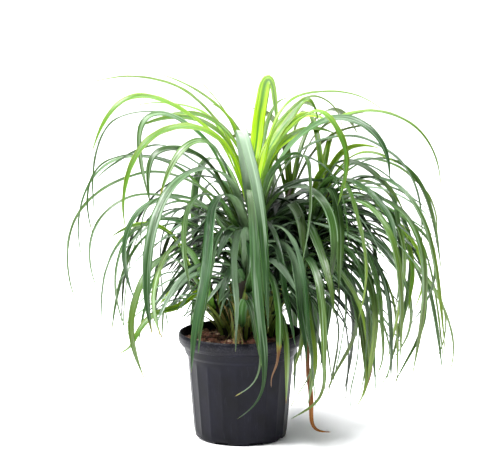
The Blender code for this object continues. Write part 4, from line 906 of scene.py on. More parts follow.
def fill_leaf(row, number, rng, standing, blades):
    """One leaf by rule. Roots spiral up the stem by the golden angle within their sector; the higher the
    root, the younger the leaf and the steeper it rises. A leaf without room is tried again shorter."""
    stem, age, count, roots, sector, length, width = row
    share = number / count
    height = roots[0] + (roots[1] - roots[0]) * share
    heading = sector[0] + (number * GOLDEN_ANGLE) % (sector[1] - sector[0])
    heading += rng.uniform(*FILL_HEADING)
    habit = HABITS[age]
    rise, fall, bend, softness = (habit[key][0] + habit[key][1] * share + rng.uniform(*habit[key][2])
                                  for key in ("rise", "fall", "bend", "softness"))
    long = rng.uniform(*length)
    wide = rng.uniform(*width)
    roll = (0, rng.uniform(*FILL_ROLL))
    sway = rng.uniform(*FILL_SWAY)
    for shorter in SHORTER:
        route = free_route(stem, height, heading, long * shorter, rise, fall, bend, softness, sway)
        routes = filter(in_outline, swung_routes(route))
        route = place_leaf(node_of(stem, age), routes, wide, roll, standing, blades, FILL_RINGS)
        if route is not None:
            return Leaf(node_of(stem, age), stem, age, route, wide, roll, None)
    return None


def sheath_leaves(stem):
    """Routes and widths of the short clasping leaf bases that wrap the lower stem."""
    low, high = SHEATH_LOWEST, STEMS[stem]["top"][2] - SHEATH_BELOW_TOP
    made = []
    for number in range(SHEATHS[stem]):
        share = number / SHEATHS[stem]
        heading = SHEATH_HEADING + number * GOLDEN_ANGLE
        height = low + (high - low) * share
        route = free_route(stem, height, heading, SHEATH_LENGTH, *SHEATH_HABIT, 0)
        made.append((route, SHEATH_WIDTHS[0] + (SHEATH_WIDTHS[1] - SHEATH_WIDTHS[0]) * share))
    return made


def tone(hexed):
    """An sRGB colour such as "#3a7a35" as linear red, green, blue and full alpha."""
    values = np.array([int(hexed[i:i + 2], 16) for i in (1, 3, 5)]) / 255
    linear = np.where(values <= 0.04045, values / 12.92, ((values + 0.055) / 1.055) ** 2.4)
    return (*linear.tolist(), 1.0)


def add_node(tree, kind, inputs=(), output=0, **settings):
    """Add a node with its settings by name, and give one of its outputs. Its inputs come in their order, or
    by number or name; each is a value, or another node's output that is then linked."""
    made = tree.nodes.new("ShaderNode" + kind)
    for name, value in settings.items():
        setattr(made, name, value)
    for place, value in inputs.items() if isinstance(inputs, dict) else enumerate(inputs):
        if isinstance(value, bpy.types.NodeSocket):
            tree.links.new(value, made.inputs[place])
        else:
            made.inputs[place].default_value = value
    return made.outputs[output] if len(made.outputs) else made


def new_finish(name):
    """A finish with no nodes yet, and the function that adds a node to it."""
    made = bpy.data.materials.new(name)
    made.use_nodes = True
    made.node_tree.nodes.clear()
    return made, functools.partial(add_node, made.node_tree)


def layered(add, colour, layers):
    """A colour with others laid over it in turn. Each layer gives the share that it covers, its colour, and
    its way of blending if that isn't the plain one."""
    for share, over, *way in layers:
        colour = add("Mix", {0: share, 6: colour, 7: over}, 2, data_type="RGBA",
                     blend_type=way[0] if way else "MIX")
    return colour


def grained(add, place, spacing, detail=2.0, roughness=0.5, unit=MM):
    """Noise whose lumps lie the spacing apart along each axis, in millimetres, on a place that is measured
    in units of its own."""
    drawn = add("VectorMath", (place, tuple(1 / (step * unit) for step in spacing)), operation="MULTIPLY")
    return add("TexNoise", {"Vector": drawn, "Scale": 1.0, "Detail": detail, "Roughness": roughness}, "Fac")


def skinned(add, colour, rough, height, strength, depth, more=()):
    """The shader of a surface: its colour, its roughness, a height that is felt to a depth in millimetres,
    and more inputs by name."""
    bump = add("Bump", {"Height": height, "Strength": strength, "Distance": depth * MM})
    return add("BsdfPrincipled", {"Base Color": colour, "Roughness": rough, "Normal": bump, **dict(more)})


def piece(name, points, faces, finish, slot, replaced=(), attributes=None, smooth=True):
    """A finished piece from points in millimetres: it rides on the plant's body and stands for the solids
    that it replaces; its slot is not used. attributes gives values for each point, three or four to a point."""
    mesh = bpy.data.meshes.new(name)
    mesh.from_pydata((np.asarray(points) * MM).tolist(), [], faces)
    mesh.materials.append(finish)
    mesh.polygons.foreach_set("use_smooth", np.full(len(mesh.polygons), smooth))
    for label, values in (attributes or {}).items():
        kind, field = ("FLOAT_VECTOR", "vector") if values.shape[1] == 3 else ("FLOAT_COLOR", "color")
        layer = mesh.attributes.new(label, kind, "POINT")
        layer.data.foreach_set(field, values.astype(np.float32).ravel())
    thing = bpy.data.objects.new(name, mesh)
    bpy.context.scene.collection.objects.link(thing)
    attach(thing, "root")
    if replaced:
        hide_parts(*replaced)


def grid_faces(rows, columns, closed=True):
    """Four-sided faces of a grid of points that is numbered row by row. A closed grid joins its last column
    to its first."""
    row, column = np.meshgrid(np.arange(rows - 1), np.arange(columns if closed else columns - 1),
                              indexing="ij")
    after = (column + 1) % columns
    low = row * columns
    return np.stack([low + column, low + after, low + columns + after, low + columns + column],
                    axis=-1).reshape(-1, 4).tolist()


def fan(first, around, middle, outward=True):
    """Three-sided faces between a ring of points, numbered from the first on, and its middle point."""
    turns = [(first + j, first + (j + 1) % around) for j in range(around)]
    return [[*(pair if outward else pair[::-1]), middle] for pair in turns]


def ring(radii, angles, heights):
    """Points at each radius and angle about +Z, at the heights."""
    return np.stack([radii * np.cos(angles), radii * np.sin(angles), heights + 0 * radii * angles], axis=-1)


def capped(rings, tip):
    """Points and faces of a tube of equal rings, closed by a flat face at its start and by a fan of
    three-sided faces on the tip point at its end."""
    count, around = rings.shape[:2]
    points = np.concatenate([rings.reshape(-1, 3), [tip]])
    faces = grid_faces(count, around)
    faces.append(list(range(around))[::-1])
    return points, faces + fan((count - 1) * around, around, count * around)


def there_and_back(columns):
    """Places across a flat tube, from -1 to 1 over its top and back under it, and 1 for those beneath."""
    across = np.linspace(-1, 1, columns)
    return np.concatenate([across, across[-2:0:-1]]), np.repeat((0.0, 1.0), (columns, columns - 2))


def leaf_shell(leaf, number, rng):
    """A leaf as a thin closed strap, and what its points carry. Its stations run along the route, and u runs
    across it from -1 to 1. The upper face is middle + across * half * u + out * (dip * (|u| ^ CHANNEL -
    LIFT) + wave), a channel whose dip follows the keel and whose margins wave a little. The lower face lies
    one thickness under it, and both meet at the margins."""
    along = np.unique(np.append(np.arange(0, STATIONS - 1, 1 if leaf.first else 2), STATIONS - 2))
    share = along / (STATIONS - 1)
    roll = DEAD_ROLL if leaf.kind == "dead" else leaf.roll
    if leaf.kind in ("mature", "young") and not leaf.first:
        roll = (0, roll[1] + np.copysign(FILL_TWIST, roll[1]))
    across, out = (part[along][:, None] for part in blade_frame(leaf.route, roll))
    middle = leaf.route[along][:, None]
    half = leaf.width * blade_width(share, DRAWN_POINT) / 2
    half = half * np.interp(share, *SLIM_POINTS.get(leaf.first, ((0, 1), (1, 1))))
    half = np.maximum(half, TIP_HALF)[:, None]
    u, under = there_and_back(LEAF_COLUMNS)
    dip = (np.interp(share, KEEL_SHARES, KEEL_DEPTHS) * CHANNEL_DEPTH)[:, None]
    dip = np.minimum(dip, half * CHANNEL_STEEPEST)
    phase = rng.uniform(0, 2 * np.pi, 2)
    run = lengths(leaf.route)[along][:, None]
    strength, quickness = SECOND_WAVE
    wave = np.sin(run / WAVE_LENGTH * 2 * np.pi + phase[0])
    wave = wave + strength * np.sin(run / WAVE_LENGTH * quickness + phase[1])
    thick = np.interp(share, THICKNESS_SHARES, LEAF_THICKNESS)[:, None] * (1 - np.abs(u) ** 3)
    rise = dip * (np.abs(u) ** CHANNEL - LIFT) + WAVE * wave * u ** 2 * np.sign(u) * (half / WAVE_HALF)
    rise = rise - thick * under
    rings = middle + across * (half * u)[..., None] + out * rise[..., None]
    points, faces = capped(rings, leaf.route[-1])
    shape = rings.shape[:2]
    blade = as_values(shape, half * u, run, number * APART)
    marks, growth_and_light = leaf_values(leaf, middle, share[:, None], u, under, rng.uniform(size=3))
    ends = (blade[-1:] * (0, 1, 1), marks[-1:] * (1, 0, 0, 1) + (0, 1, 0.5, 0), growth_and_light[-1:])
    return points, faces, *(np.concatenate(pair) for pair in zip((blade, marks, growth_and_light), ends))


def as_values(shape, *columns):
    """One row of values for each point of a grid, from columns that spread over it or are one number."""
    spread = [np.broadcast_to(column, shape) for column in columns]
    return np.stack(spread, axis=-1).reshape(-1, len(columns))


def leaf_values(leaf, middle, share, u, under, draw):
    """What a leaf's points tell its finish. The marks are its own tone, in inner leaves darkened by painted
    shade, the shares of its length and width, and where it turns dry. Its growth values are how fresh it is,
    whether the point is underneath, the light that reaches it, which is painted in as shade, and its painted
    sheen (above 0) or how bright it is (below 0)."""
    look, top = STEM_LOOKS[leaf.stem], STEMS[leaf.stem]["top"][2]
    dry_from = NEVER_DRY - DRY_LONGEST * max(0, draw[1] - DRY_RARE) / (1 - DRY_RARE)
    dry_from = -1 if leaf.kind == "dead" else DRY_TIPS.get(leaf.first, dry_from)
    fresh = np.clip((leaf.route[0, 2] - SOIL_TOP) / (top - SOIL_TOP), 0, FRESHEST)
    if leaf.kind == "young":
        fresh = EVER_FRESHNESS if leaf.first in EVER_FRESH else fresh * look["vigour"]
    own = draw[0]
    most, until = SHEEN_PAINTED_LEAVES.get(leaf.first, (0, 1))
    if leaf.kind == "inner":
        aside = min(abs(leaf.route[-1, 0] - leaf.route[0, 0]) / INNER_ASIDE, 1)
        fresh *= INNER_FRESHNESS
        # Painted shade darkens the inner leaves' tone, but for those that reach aside; some of these get a
        # painted sheen
        own *= INNER_SHADED_TONE + (1 - INNER_SHADED_TONE) * aside
        most, until = INNER_PAINTED_SHEEN * aside * draw[1] ** 2 * look["lit"], INNER_PAINTED_SHEEN_TO
    lit = look["lit"] * LEAF_LIGHT.get(leaf.first, LIGHT_LEAST + LIGHT_SPAN * draw[2])
    if leaf.kind in ("mature", "inner"):
        away = (((middle - HEART) / HEART_SIZE) ** 2).sum(axis=-1)
        lit = lit * np.interp(share, (0, ROOT_SHADE_TO), (look["root_lit"], 1))
        lit = lit * (1 - HEART_DEPTH * np.exp(-away))
    # How the painted sheen runs along the leaf
    painted_sheen = np.clip(2 * (1 - share / until) if until else share * 4 - 2, 0, 1)
    bright = look["bright"] * draw[1] if most == 0 else 0
    shape = (len(share), len(u))
    return (as_values(shape, own, share, (u + 1) / 2, dry_from),
            as_values(shape, fresh, under, lit, most * painted_sheen - bright))


def joined_piece(name, shells, finish, slot, replaced=()):
    """Several shells, each with its points, faces and values, as one piece."""
    start = 0
    faces = []
    for shell in shells:
        faces.extend([index + start for index in face] for face in shell[1])
        start += len(shell[0])
    points, *values = (np.concatenate([shell[part] for shell in shells]) for part in (0, 2, 3, 4))
    piece(name, points, faces, finish, slot, replaced, dict(zip(("blade", "marks", "growth_and_light"), values)))


def inner_leaves(row):
    """Leaves by the rule of the fill, all round one stem and without a solid of their own. They keep within
    the outline and out of the pot."""
    stem, count, roots, heading, length, width, rise, fall = row
    rng = random.Random(SEED + count + heading[0] + rise + roots[0])
    grown = []
    for number in range(count):
        share = (number + rng.uniform(0, 1)) / count
        height = roots[0] + (roots[1] - roots[0]) * share
        turn = heading[0] + heading[1] * (number * GOLDEN_ANGLE % 360 / 180 - 1)
        slopes = (rise + INNER_STEEPER * share, fall)
        slopes = [slope + rng.uniform(-INNER_SPREAD, INNER_SPREAD) for slope in slopes]
        bend, softness = rng.uniform(*INNER_BEND), rng.uniform(*INNER_SOFTNESS)
        long, wide = rng.uniform(*length), rng.uniform(*width)
        roll = (0, rng.uniform(*INNER_ROLL) * rng.choice((-1, 1)))
        sway = rng.uniform(*FILL_SWAY)
        for shorter in SHORTER:
            route = free_route(stem, height, turn, long * shorter, *slopes, bend, softness, sway)
            away = np.hypot(route[:, 0], route[:, 1])
            clear = np.all((away > POT_CLEAR) | (route[:, 2] > SOIL_TOP + RIM_CLEAR))
            clear = clear and np.all((route[:, 2] > INNER_HEM) | (route[:, 1] > INNER_FRONT))
            if clear and route[:, 2].min() > LOWEST and in_outline(route):
                grown.append(Leaf(f"{stem}_inner", stem, "inner", route, wide, roll, None))
                break
    return grown


def make_leaves(grown):
    """One piece for the leaves of each node, standing for the node's solid where they have one."""
    for number_of_node, node in enumerate(dict.fromkeys(leaf.node for leaf in grown)):
        rng = np.random.default_rng(SEED + number_of_node)
        own = [leaf for leaf in grown if leaf.node == node]
        shells = [leaf_shell(leaf, number, rng) for number, leaf in enumerate(own)]
        slot = {"young": "young_leaf", "dead": "dry_leaf"}.get(own[0].kind, "mature_leaf")
        joined_piece(node.replace("_stem", "_crown") + "_leaves", shells, LEAF_FINISHES[slot], slot,
                     () if own[0].kind == "inner" else (node,))


def stem_line(stem, heights):
    """The stem's axis at each height."""
    return np.array([stem_centre(stem, height) for height in heights])[:, None]


def make_wood(stem):
    """The bare wood under the leaves, from inside the soil to the bud's top. It is a tube of radius
    r(z) * (1 + SCAR * sawtooth(z) + WOOD_UNEVEN * a wave of three around it), where each tooth is the scar
    of a fallen leaf and winds up the stem."""
    heights = np.linspace(SOIL_TOP - WOOD_FOOT, STEMS[stem]["top"][2] + BUD_HEIGHT, WOOD_RINGS)
    angles = np.linspace(0, 2 * np.pi, WOOD_SIDES, endpoint=False)
    radii = np.array([core_radius(stem, height) for height in heights])[:, None]
    tooth = (heights[:, None] / SCAR_SPACING + angles / (2 * np.pi)) % 1
    radii = radii * (1 + SCAR * tooth + WOOD_UNEVEN * np.sin(3 * angles + heights[:, None] / WOOD_WAVE))
    centres = stem_line(stem, heights)
    points, faces = capped(centres + ring(radii, angles, 0), centres[-1, 0] + BLUNT_TIP)
    piece(f"{stem}_wood", points, faces, WOOD, "mature_leaf", (f"{stem}_stem",))


def leaf_base(stem, number, rng):
    """An old leaf base: a short strap that hugs its stem from its foot and then leans away from it. Its
    middle line lies at the heading and stands off the stem by lean * h ^ BASE_EASE, with h from 0 at its
    foot to 1 at its torn end. Across, it bends around the stem and its edges curl out toward the end. It is
    narrow at both ends, widest at a third and thickest along its middle."""
    heading = np.radians(STEM_LOOKS[stem]["heading"] + number * GOLDEN_ANGLE) + rng.uniform(*BASE_TURN)
    low = SOIL_TOP - BASE_FOOT + BASE_RISE * number
    long, wide, lean = (rng.uniform(*span) for span in (BASE_LENGTH, BASE_WIDTH, BASE_LEAN))
    h = np.linspace(0, 1, BASE_RINGS)[:, None]
    a, under = there_and_back(BASE_SIDES)
    half = wide / 2 * np.interp(h, BASE_SHARES, BASE_PARTS)
    heights = low + long * (h - BASE_SHORTER * h ** 3)
    radii = stem_radius(stem, heights) + 1 + BASE_STACK * number + lean * h ** BASE_EASE
    turn = half * a / radii * (1 - BASE_UNWRAPPED * h)
    inward = (BASE_THICKNESS * under + BASE_HOLLOW) * (1 - a ** 2) * (1 - BASE_THINNER * h)
    off = radii - inward + BASE_CURL * a ** 2 * h
    rings = stem_line(stem, heights[:, 0]) + ring(off, heading + turn, 0)
    points, faces = capped(rings, rings[-1].mean(axis=0) + BLUNT_TIP)
    shape = rings.shape[:2]
    values = (as_values(shape, half * a, long * h, number * APART),
              as_values(shape, rng.uniform(), h, (a + 1) / 2, 1),
              as_values(shape, number / STEM_LOOKS[stem]["bases"], under, rng.uniform(), 0))
    return points, faces, *(np.concatenate([part, part[-1:]]) for part in values)


def fibre(start, end, arch, rng):
    """One torn fibre, a thin tube from its start to its end. Its middle line is the straight way between
    them, lifted by arch * 4 * h * (1 - h) and pushed aside by a seeded wave, with h from 0 to 1."""
    h = np.linspace(0, 1, FIBRE_RINGS)[:, None]
    route = np.array(start) * (1 - h) + np.array(end) * h
    route[:, 2:] += arch * 4 * h * (1 - h)
    route[:, :1] += FIBRE_WAVE * np.sin(h * rng.uniform(*FIBRE_TURNS) + rng.uniform(0, 6)) * h
    angles = np.linspace(0, 2 * np.pi, FIBRE_SIDES, endpoint=False)[:, None]
    across, out = (part[:, None] for part in blade_frame(route, (0, 0)))
    thin = rng.uniform(*FIBRE_RADIUS) * (1 - FIBRE_TAPER * h[:, None])
    rings = route[:, None] + thin * (across * np.cos(angles) + out * np.sin(angles))
    points, faces = capped(rings, route[-1] + (route[-1] - route[-2]) * FIBRE_TIP)
    shape = rings.shape[:2]
    marks = as_values(shape, rng.uniform(), 1, 0.5, 1)
    blade = as_values(shape, 0, FIBRE_LENGTH * h, rng.uniform(0, FIBRE_APART))
    growth_and_light = as_values(shape, 0, 0, rng.uniform(), 0)
    return points, faces, *(np.concatenate([part, part[-1:]]) for part in (blade, marks, growth_and_light))


def make_old_bases():
    """The old leaf bases of all the stems, and the straw-coloured fibres of rotted ones, in a wisp in front
    of the main stem's foot."""
    rng = np.random.default_rng(SEED)
    bases = [leaf_base(stem, number, rng) for stem in STEMS for number in range(STEM_LOOKS[stem]["bases"])]
    joined_piece("old_leaf_bases", bases, OLD_BASE, "mature_leaf")
    rng = np.random.default_rng(SEED)
    wisp = []
    for number in range(FIBRES):
        end = FIBRE_END + rng.normal(0, 1, 3) * FIBRE_END_SPREAD
        start = FIBRE_START + rng.normal(0, 1, 3) * FIBRE_START_SPREAD
        wisp.append(fibre(start, end, rng.uniform(*FIBRE_ARCH), rng))
    wisp.extend(fibre(FIBRE_START, end, arch, rng) for end, arch in STRAY_FIBRES)
    joined_piece("straw_fibres", wisp, OLD_BASE, "mature_leaf")


def pot_radius(radius, height, angles):
    """The outer wall's radius: between its ribs the wall is drawn in to flat panels, by
    PANEL_DEPTH * (1 - x ^ 2) with x from 0 at a panel's middle to 1 at its ribs, and each rib stands a
    little proud."""
    x = np.abs(((angles - RIB_STEP / 2) / RIB_STEP) % 1 - 0.5) * 2
    drawn = PANEL_DEPTH * (1 - x ** 2) - RIB * np.exp(-((1 - x) / RIB_WIDTH) ** 2)
    return radius - np.interp(height, PANEL_HEIGHTS, (0, 1, 1, 0)) * drawn


def pot_profile():
    """The pot's outline as (radius, height) from the middle of its underside, up the outer wall, over the
    rim and down inside. Each corner of the plain outline is rounded by a curve between points a little
    before and after it, two points lie close to the notches' top, and long stretches are divided."""
    corners = np.array([(0, 0), *POT_OUTER, *POT_INNER, (0, POT_INNER[-1][1])], float)
    points = [corners[0]]
    for before, corner, after in zip(corners, corners[1:], corners[2:]):
        far = [np.linalg.norm(other - corner) for other in (before, after)]
        start, end = (corner + (other - corner) / long * min(CORNER, CORNER_SHARE * long)
                      for other, long in zip((before, after), far))
        for t in np.linspace(0, 1, CORNER_POINTS):
            points.append((1 - t) ** 2 * start + 2 * t * (1 - t) * corner + t ** 2 * end)
    points.append(corners[-1])
    row = next(k for k, point in enumerate(points) if point[1] > NOTCH_HEIGHT)
    for height in (NOTCH_HEIGHT + NOTCH_LIP, NOTCH_HEIGHT - NOTCH_LIP):
        share = (height - points[row - 1][1]) / (points[row][1] - points[row - 1][1])
        points.insert(row, points[row - 1] + (points[row] - points[row - 1]) * share)
    fine = [points[0]]
    for start, end in zip(points, points[1:]):
        count = max(1, int(np.linalg.norm(end - start) / WALL_STEP))
        fine.extend(start + (end - start) * k / count for k in range(1, count + 1))
    return np.array(fine)


def make_pot():
    """The moulded pot: its outline carried round the axis, with the notches' edges among the columns so
    that they are crisp. In a notch the foot of the wall is pushed inward."""
    profile = pot_profile()[1:-1]
    edges = np.radians(FIRST_NOTCH + np.arange(NOTCHES) * 360 / NOTCHES)
    wide = NOTCH_WIDTH / 2 / POT_OUTER[0][0]
    sides = [edges + side * (wide + push) for side in (-1, 1) for push in (-NOTCH_EDGE, NOTCH_EDGE)]
    angles = np.sort(np.concatenate([np.linspace(0, 2 * np.pi, POT_COLUMNS, endpoint=False),
                                     np.concatenate(sides) % (2 * np.pi)]))
    outer = np.arange(len(profile))[:, None] < np.argmax(profile[:, 1])
    radius, height = profile[:, :1], profile[:, 1:]
    fluted = np.where(outer, pot_radius(radius, height, angles), radius)
    near = np.abs((angles[:, None] - edges + np.pi) % (2 * np.pi) - np.pi).min(axis=1) < wide
    fluted = np.where(near & outer & (height < NOTCH_HEIGHT) & (radius > NOTCH_FROM), NOTCH_FROM, fluted)
    middles = [(0, 0, 0), (0, 0, POT_INNER[-1][1])]
    points = np.concatenate([ring(fluted, angles, height).reshape(-1, 3), middles])
    count = len(angles)
    faces = grid_faces(len(profile), count) + fan(0, count, len(points) - 2, outward=False)
    faces += fan((len(profile) - 1) * count, count, len(points) - 1)
    piece("moulded_pot", points, faces, MOULDED_PLASTIC, "black_plastic", ("pot",))


def soil_height(x, y):
    """How high the filling lies: it rises to the middle and is lumpy, by three crossed waves that are 57 to
    18 mm long, and drops a little at the wall."""
    away = np.hypot(x, y) / SOIL_EDGE
    lumps = np.sin(x / 9.1 + 1) * np.sin(y / 7.7)
    lumps = lumps + 0.6 * np.sin(x / 4.3 + y / 5.9) + 0.5 * np.sin(y / 3.1 - x / 6.7)
    drop = SOIL_EDGE_DROP * away ** 6
    return SOIL_TOP + SOIL_CROWN * (1 - away) + lumps * SOIL_LUMPS * (1 - away ** 4) - drop


def make_soil():
    """The filling under the chips: a closed drum that follows the pot's inside, a gap off it, with the
    lumpy height for its top."""
    angles = np.linspace(0, 2 * np.pi, SOIL_COLUMNS, endpoint=False)
    top = ring(np.linspace(SOIL_EDGE - SOIL_GAP, SOIL_EYE, SOIL_RINGS)[:, None], angles, 0)
    top[..., 2] = soil_height(top[..., 0], top[..., 1])
    wall = np.array([(radius - SOIL_GAP, height + SOIL_GAP) for radius, height in POT_INNER[:1:-1]])
    rings = np.concatenate([ring(wall[:, :1], angles, wall[:, 1:]), top])
    points, faces = capped(rings, (0, 0, soil_height(0, 0)))
    piece("soil_filling", points, faces, SOIL, "bark_chips", ("soil",))


def make_bark_chips():
    """Loose chips on top. Each is a sphere's grid squashed to a flat splinter by its own three sizes, made
    blocky by a root of its coordinates, torn by seeded noise, turned and laid on the filling."""
    rng = np.random.default_rng(SEED)
    turn = np.linspace(0, 2 * np.pi, CHIP_COLUMNS, endpoint=False)
    lift = np.linspace(-np.pi / 2, np.pi / 2, CHIP_ROWS + 2)[1:-1, None]
    ball = np.concatenate([ring(np.cos(lift), turn, np.sin(lift)).reshape(-1, 3), [(0, 0, -1), (0, 0, 1)]])
    ball = np.sign(ball) * np.abs(ball) ** CHIP_BLOCKINESS
    one = grid_faces(CHIP_ROWS, CHIP_COLUMNS) + fan(0, CHIP_COLUMNS, len(ball) - 2, outward=False)
    one += fan((CHIP_ROWS - 1) * CHIP_COLUMNS, CHIP_COLUMNS, len(ball) - 1)
    points, faces, marks = [], [], []
    while len(points) < CHIPS:
        away = np.sqrt(rng.uniform()) * (SOIL_EDGE - CHIP_CLEAR)
        angle = rng.uniform(0, 2 * np.pi)
        x, y = away * np.cos(angle), away * np.sin(angle)
        long = CHIP_LENGTH[0] + (CHIP_LENGTH[1] - CHIP_LENGTH[0]) * rng.uniform() ** 2
        sizes = long * np.array([0.5, rng.uniform(*CHIP_WIDE), rng.uniform(*CHIP_THICK)])
        tilt, yaw = rng.normal(0, CHIP_TILT), rng.uniform(0, 2 * np.pi)
        clear = min(np.hypot(x - stem["foot"][0], y - stem["foot"][1]) - stem["radii"][0]
                    for stem in STEMS.values())
        torn = 1 + rng.normal(0, CHIP_TEAR, ball.shape)
        if clear < CHIP_CLEAR or away + long / 2 > SOIL_EDGE - 1:
            continue
        around = np.array([[np.cos(yaw), -np.sin(yaw), 0], [np.sin(yaw), np.cos(yaw), 0], [0, 0, 1]])
        over = np.array([[np.cos(tilt), 0, np.sin(tilt)], [0, 1, 0], [-np.sin(tilt), 0, np.cos(tilt)]])
        place = (x, y, soil_height(x, y) + rng.uniform(*CHIP_LIFT))
        faces.extend([index + len(points) * len(ball) for index in face] for face in one)
        points.append(ball * sizes * torn @ (around @ over).T + place)
        pale = rng.uniform() < PALE_CHIPS
        marks.append(np.tile((rng.uniform(), float(pale), rng.uniform(), 1), (len(ball), 1)))
    piece("loose_bark", np.concatenate(points), faces, BARK, "bark_chips", (),
          {"marks": np.concatenate(marks)}, smooth=False)


def leaf_marks(add):
    """What a leaf's points carry, by name: see leaf_values."""
    at = {"blade": add("Attribute", output="Vector", attribute_name="blade")}
    # The second set also carries the light that reaches each point and a painted sheen, both painted into
    # the colour
    for name, keys, last in (("marks", ("tone", "share", "across"), "dry"),
                             ("growth_and_light", ("fresh", "under", "lit"), "pale")):
        for number, key in enumerate(keys):
            at[key] = add("SeparateColor", [add("Attribute", attribute_name=name)], number)
        at[last] = add("Attribute", output="Alpha", attribute_name=name)
    return at


def leaf_finish(name, look):
    """A living strap leaf: waxy skin over green flesh that lets light through, so that it has a soft sheen
    and is yellower against the light.

    Its own tone lies between the deep and the fresh colour, and in some leaves near the cool one; the young
    leaves of the weaker stems are nearer the dull one. Its foot is pale, and from the far share on it turns
    to a darker far colour or a lighter one. Veins and pale streaks run along its length, the streaks partly
    its own and partly a painted sheen. The band along the midrib is partly the rib's own colour and partly
    painted shade in the channel's crease, darkest in the young leaves. The two margins have colours of their
    own, the underside is duller, some leaves get a painted sheen, the light that reaches each part is
    painted in as shade, and the point is dry."""
    made, add = new_finish(name)
    at = leaf_marks(add)
    hue = {key: tone(value) for key, value in look.items() if isinstance(value, str)}
    clouds, veins, pale_streaks_and_sheen, rags = (grained(add, at["blade"], spacing, detail, 0.6, 1) for spacing, detail in
                                  ((CLOUDS, 2.0), (VEINS, 3.0), (PALE_STREAKS_AND_SHEEN, 2.0), (RAGS, 2.0)))
    # From leaf to leaf the green differs, the leaves near the top are the freshest, and along a leaf it
    # drifts in long clouds
    youth = add("MapRange", (at["fresh"], 0.3, 1.0, 0.0, 0.25))
    mixed = add("Math", (clouds, 0.4, youth), operation="MULTIPLY_ADD")
    mixed = add("Math", (at["tone"], 0.6, mixed), operation="MULTIPLY_ADD")
    chance = add("Math", [add("Math", (at["tone"], CHANCE), operation="MULTIPLY")], operation="FRACT")
    # Past the far share it ripens, but not in the leaves that stay fresh to their tips
    ripe = add("Math", (at["tone"], 0.3, at["share"]), operation="MULTIPLY_ADD")
    ripe = add("MapRange", (ripe, *look["far_share"]))
    ripe = add("Math", (ripe, add("MapRange", (at["fresh"], 1.3, 1.5, 1.0, 0.0))), operation="MULTIPLY")
    far = layered(add, hue["far"], [(add("MapRange", (at["pale"], 0.0, -1.0)), hue["far_light"])])
    # The foot of a leaf, where it clasps the stem, is pale in the leaves that are rooted high
    foot = add("MapRange", (at["share"], 0.02, 0.36, 0.95, 0.0))
    foot = add("Math", (foot, add("MapRange", (at["fresh"], 0.45, 0.9))), operation="MULTIPLY")
    # From the midrib outward, off is 0 to 1
    off = add("Math", (at["across"], 2.0, -1.0), operation="MULTIPLY_ADD")
    off = add("Math", [off], operation="ABSOLUTE")
    # The band along the midrib: partly the rib's own colour and partly painted shade in the channel's
    # crease, darkest in the young leaves
    rib = add("MapRange", (off, look["rib_and_crease_width"], look["rib_and_crease_width"] * 0.45, 0.0, look["rib_and_crease_share"]))
    # The dry end: first yellow, then brown, with a ragged border
    past = add("Math", (at["share"], at["dry"]), operation="SUBTRACT")
    past = add("Math", (past, add("MapRange", (rags, 0.2, 0.8, -0.025, 0.025))), operation="ADD")
    brown = add("MapRange", (past, 0.0, 0.03))
    colour = layered(add, hue["deep"], [
        (add("MapRange", (mixed, 0.25, 1.0)), hue["fresh"]),
        (add("MapRange", (chance, 0.6, 0.95, 0.0, 0.75)), hue["cool"]),
        (add("MapRange", (at["fresh"], 0.6, 0.95, look["dull_share"], 0.0)), hue["dull"]),
        (ripe, far),
        (foot, hue["foot"]),
        (1.0, add("MapRange", (veins, 0.35, 0.65, 0.5, 1.35)), "MULTIPLY"),
        # Pale streaks, partly the leaf's own and partly a painted sheen
        (add("MapRange", (pale_streaks_and_sheen, 0.52, 0.68, 0.0, look["pale_streaks_and_sheen"])), hue["pale"]),
        (rib, hue["rib"]),
        (add("MapRange", (off, 0.84, 0.97, 0.0, 0.55)), hue["margin"]),
        (add("Math", (at["under"], 0.5), operation="MULTIPLY"), hue["under"]),
        # A painted sheen: a pale highlight painted on some leaves
        (add("MapRange", (at["pale"], 0.0, 1.0)), hue["painted_sheen"]),
        (1.0, at["lit"], "MULTIPLY"),
        (add("MapRange", (past, -0.025, 0.0, 0.0, 0.8)), hue["yellowed"]),
        (brown, hue["dried"])])
    # The veins are felt as well as seen, and break up the shine
    gloss = add("MapRange", (veins, 0.2, 0.8, look["gloss"] - 0.1, look["gloss"] + 0.14))
    wax = {"Specular IOR Level": 0.5, "Coat Weight": 0.08, "Coat Roughness": 0.25}
    skin = skinned(add, colour, gloss, veins, 0.8, 2, wax)
    # Light that comes through the blade is yellower than what it throws back
    through = layered(add, colour, [(0.55, hue["glow"]), (brown, hue["dried"])])
    passed = add("BsdfTranslucent", [through])
    add("OutputMaterial", [add("MixShader", (look["clear"], skin, passed))])
    return made


def dry_leaf_finish():
    """A dead leaf: papery, dark brown where it is old and orange-brown toward its tip, with no gloss. Its
    fibres are drawn 2 mm apart, and real ones are finer."""
    made, add = new_finish("dry_leaf_paper")
    at = leaf_marks(add)
    grain = grained(add, at["blade"], (2, 50, 1), 4.0, 0.6, 1)
    fibres = add("MapRange", (grain, 0.3, 0.7))
    tip = layered(add, tone("#7c4216"), [(fibres, tone("#c07c30"))])
    old = layered(add, tone("#3a2114"), [(fibres, tone("#6a3d20"))])
    colour = layered(add, old, [(add("MapRange", (at["share"], 0.35, 0.85)), tip)])
    add("OutputMaterial", [skinned(add, colour, 0.72, grain, 0.5, 0.6)])
    return made


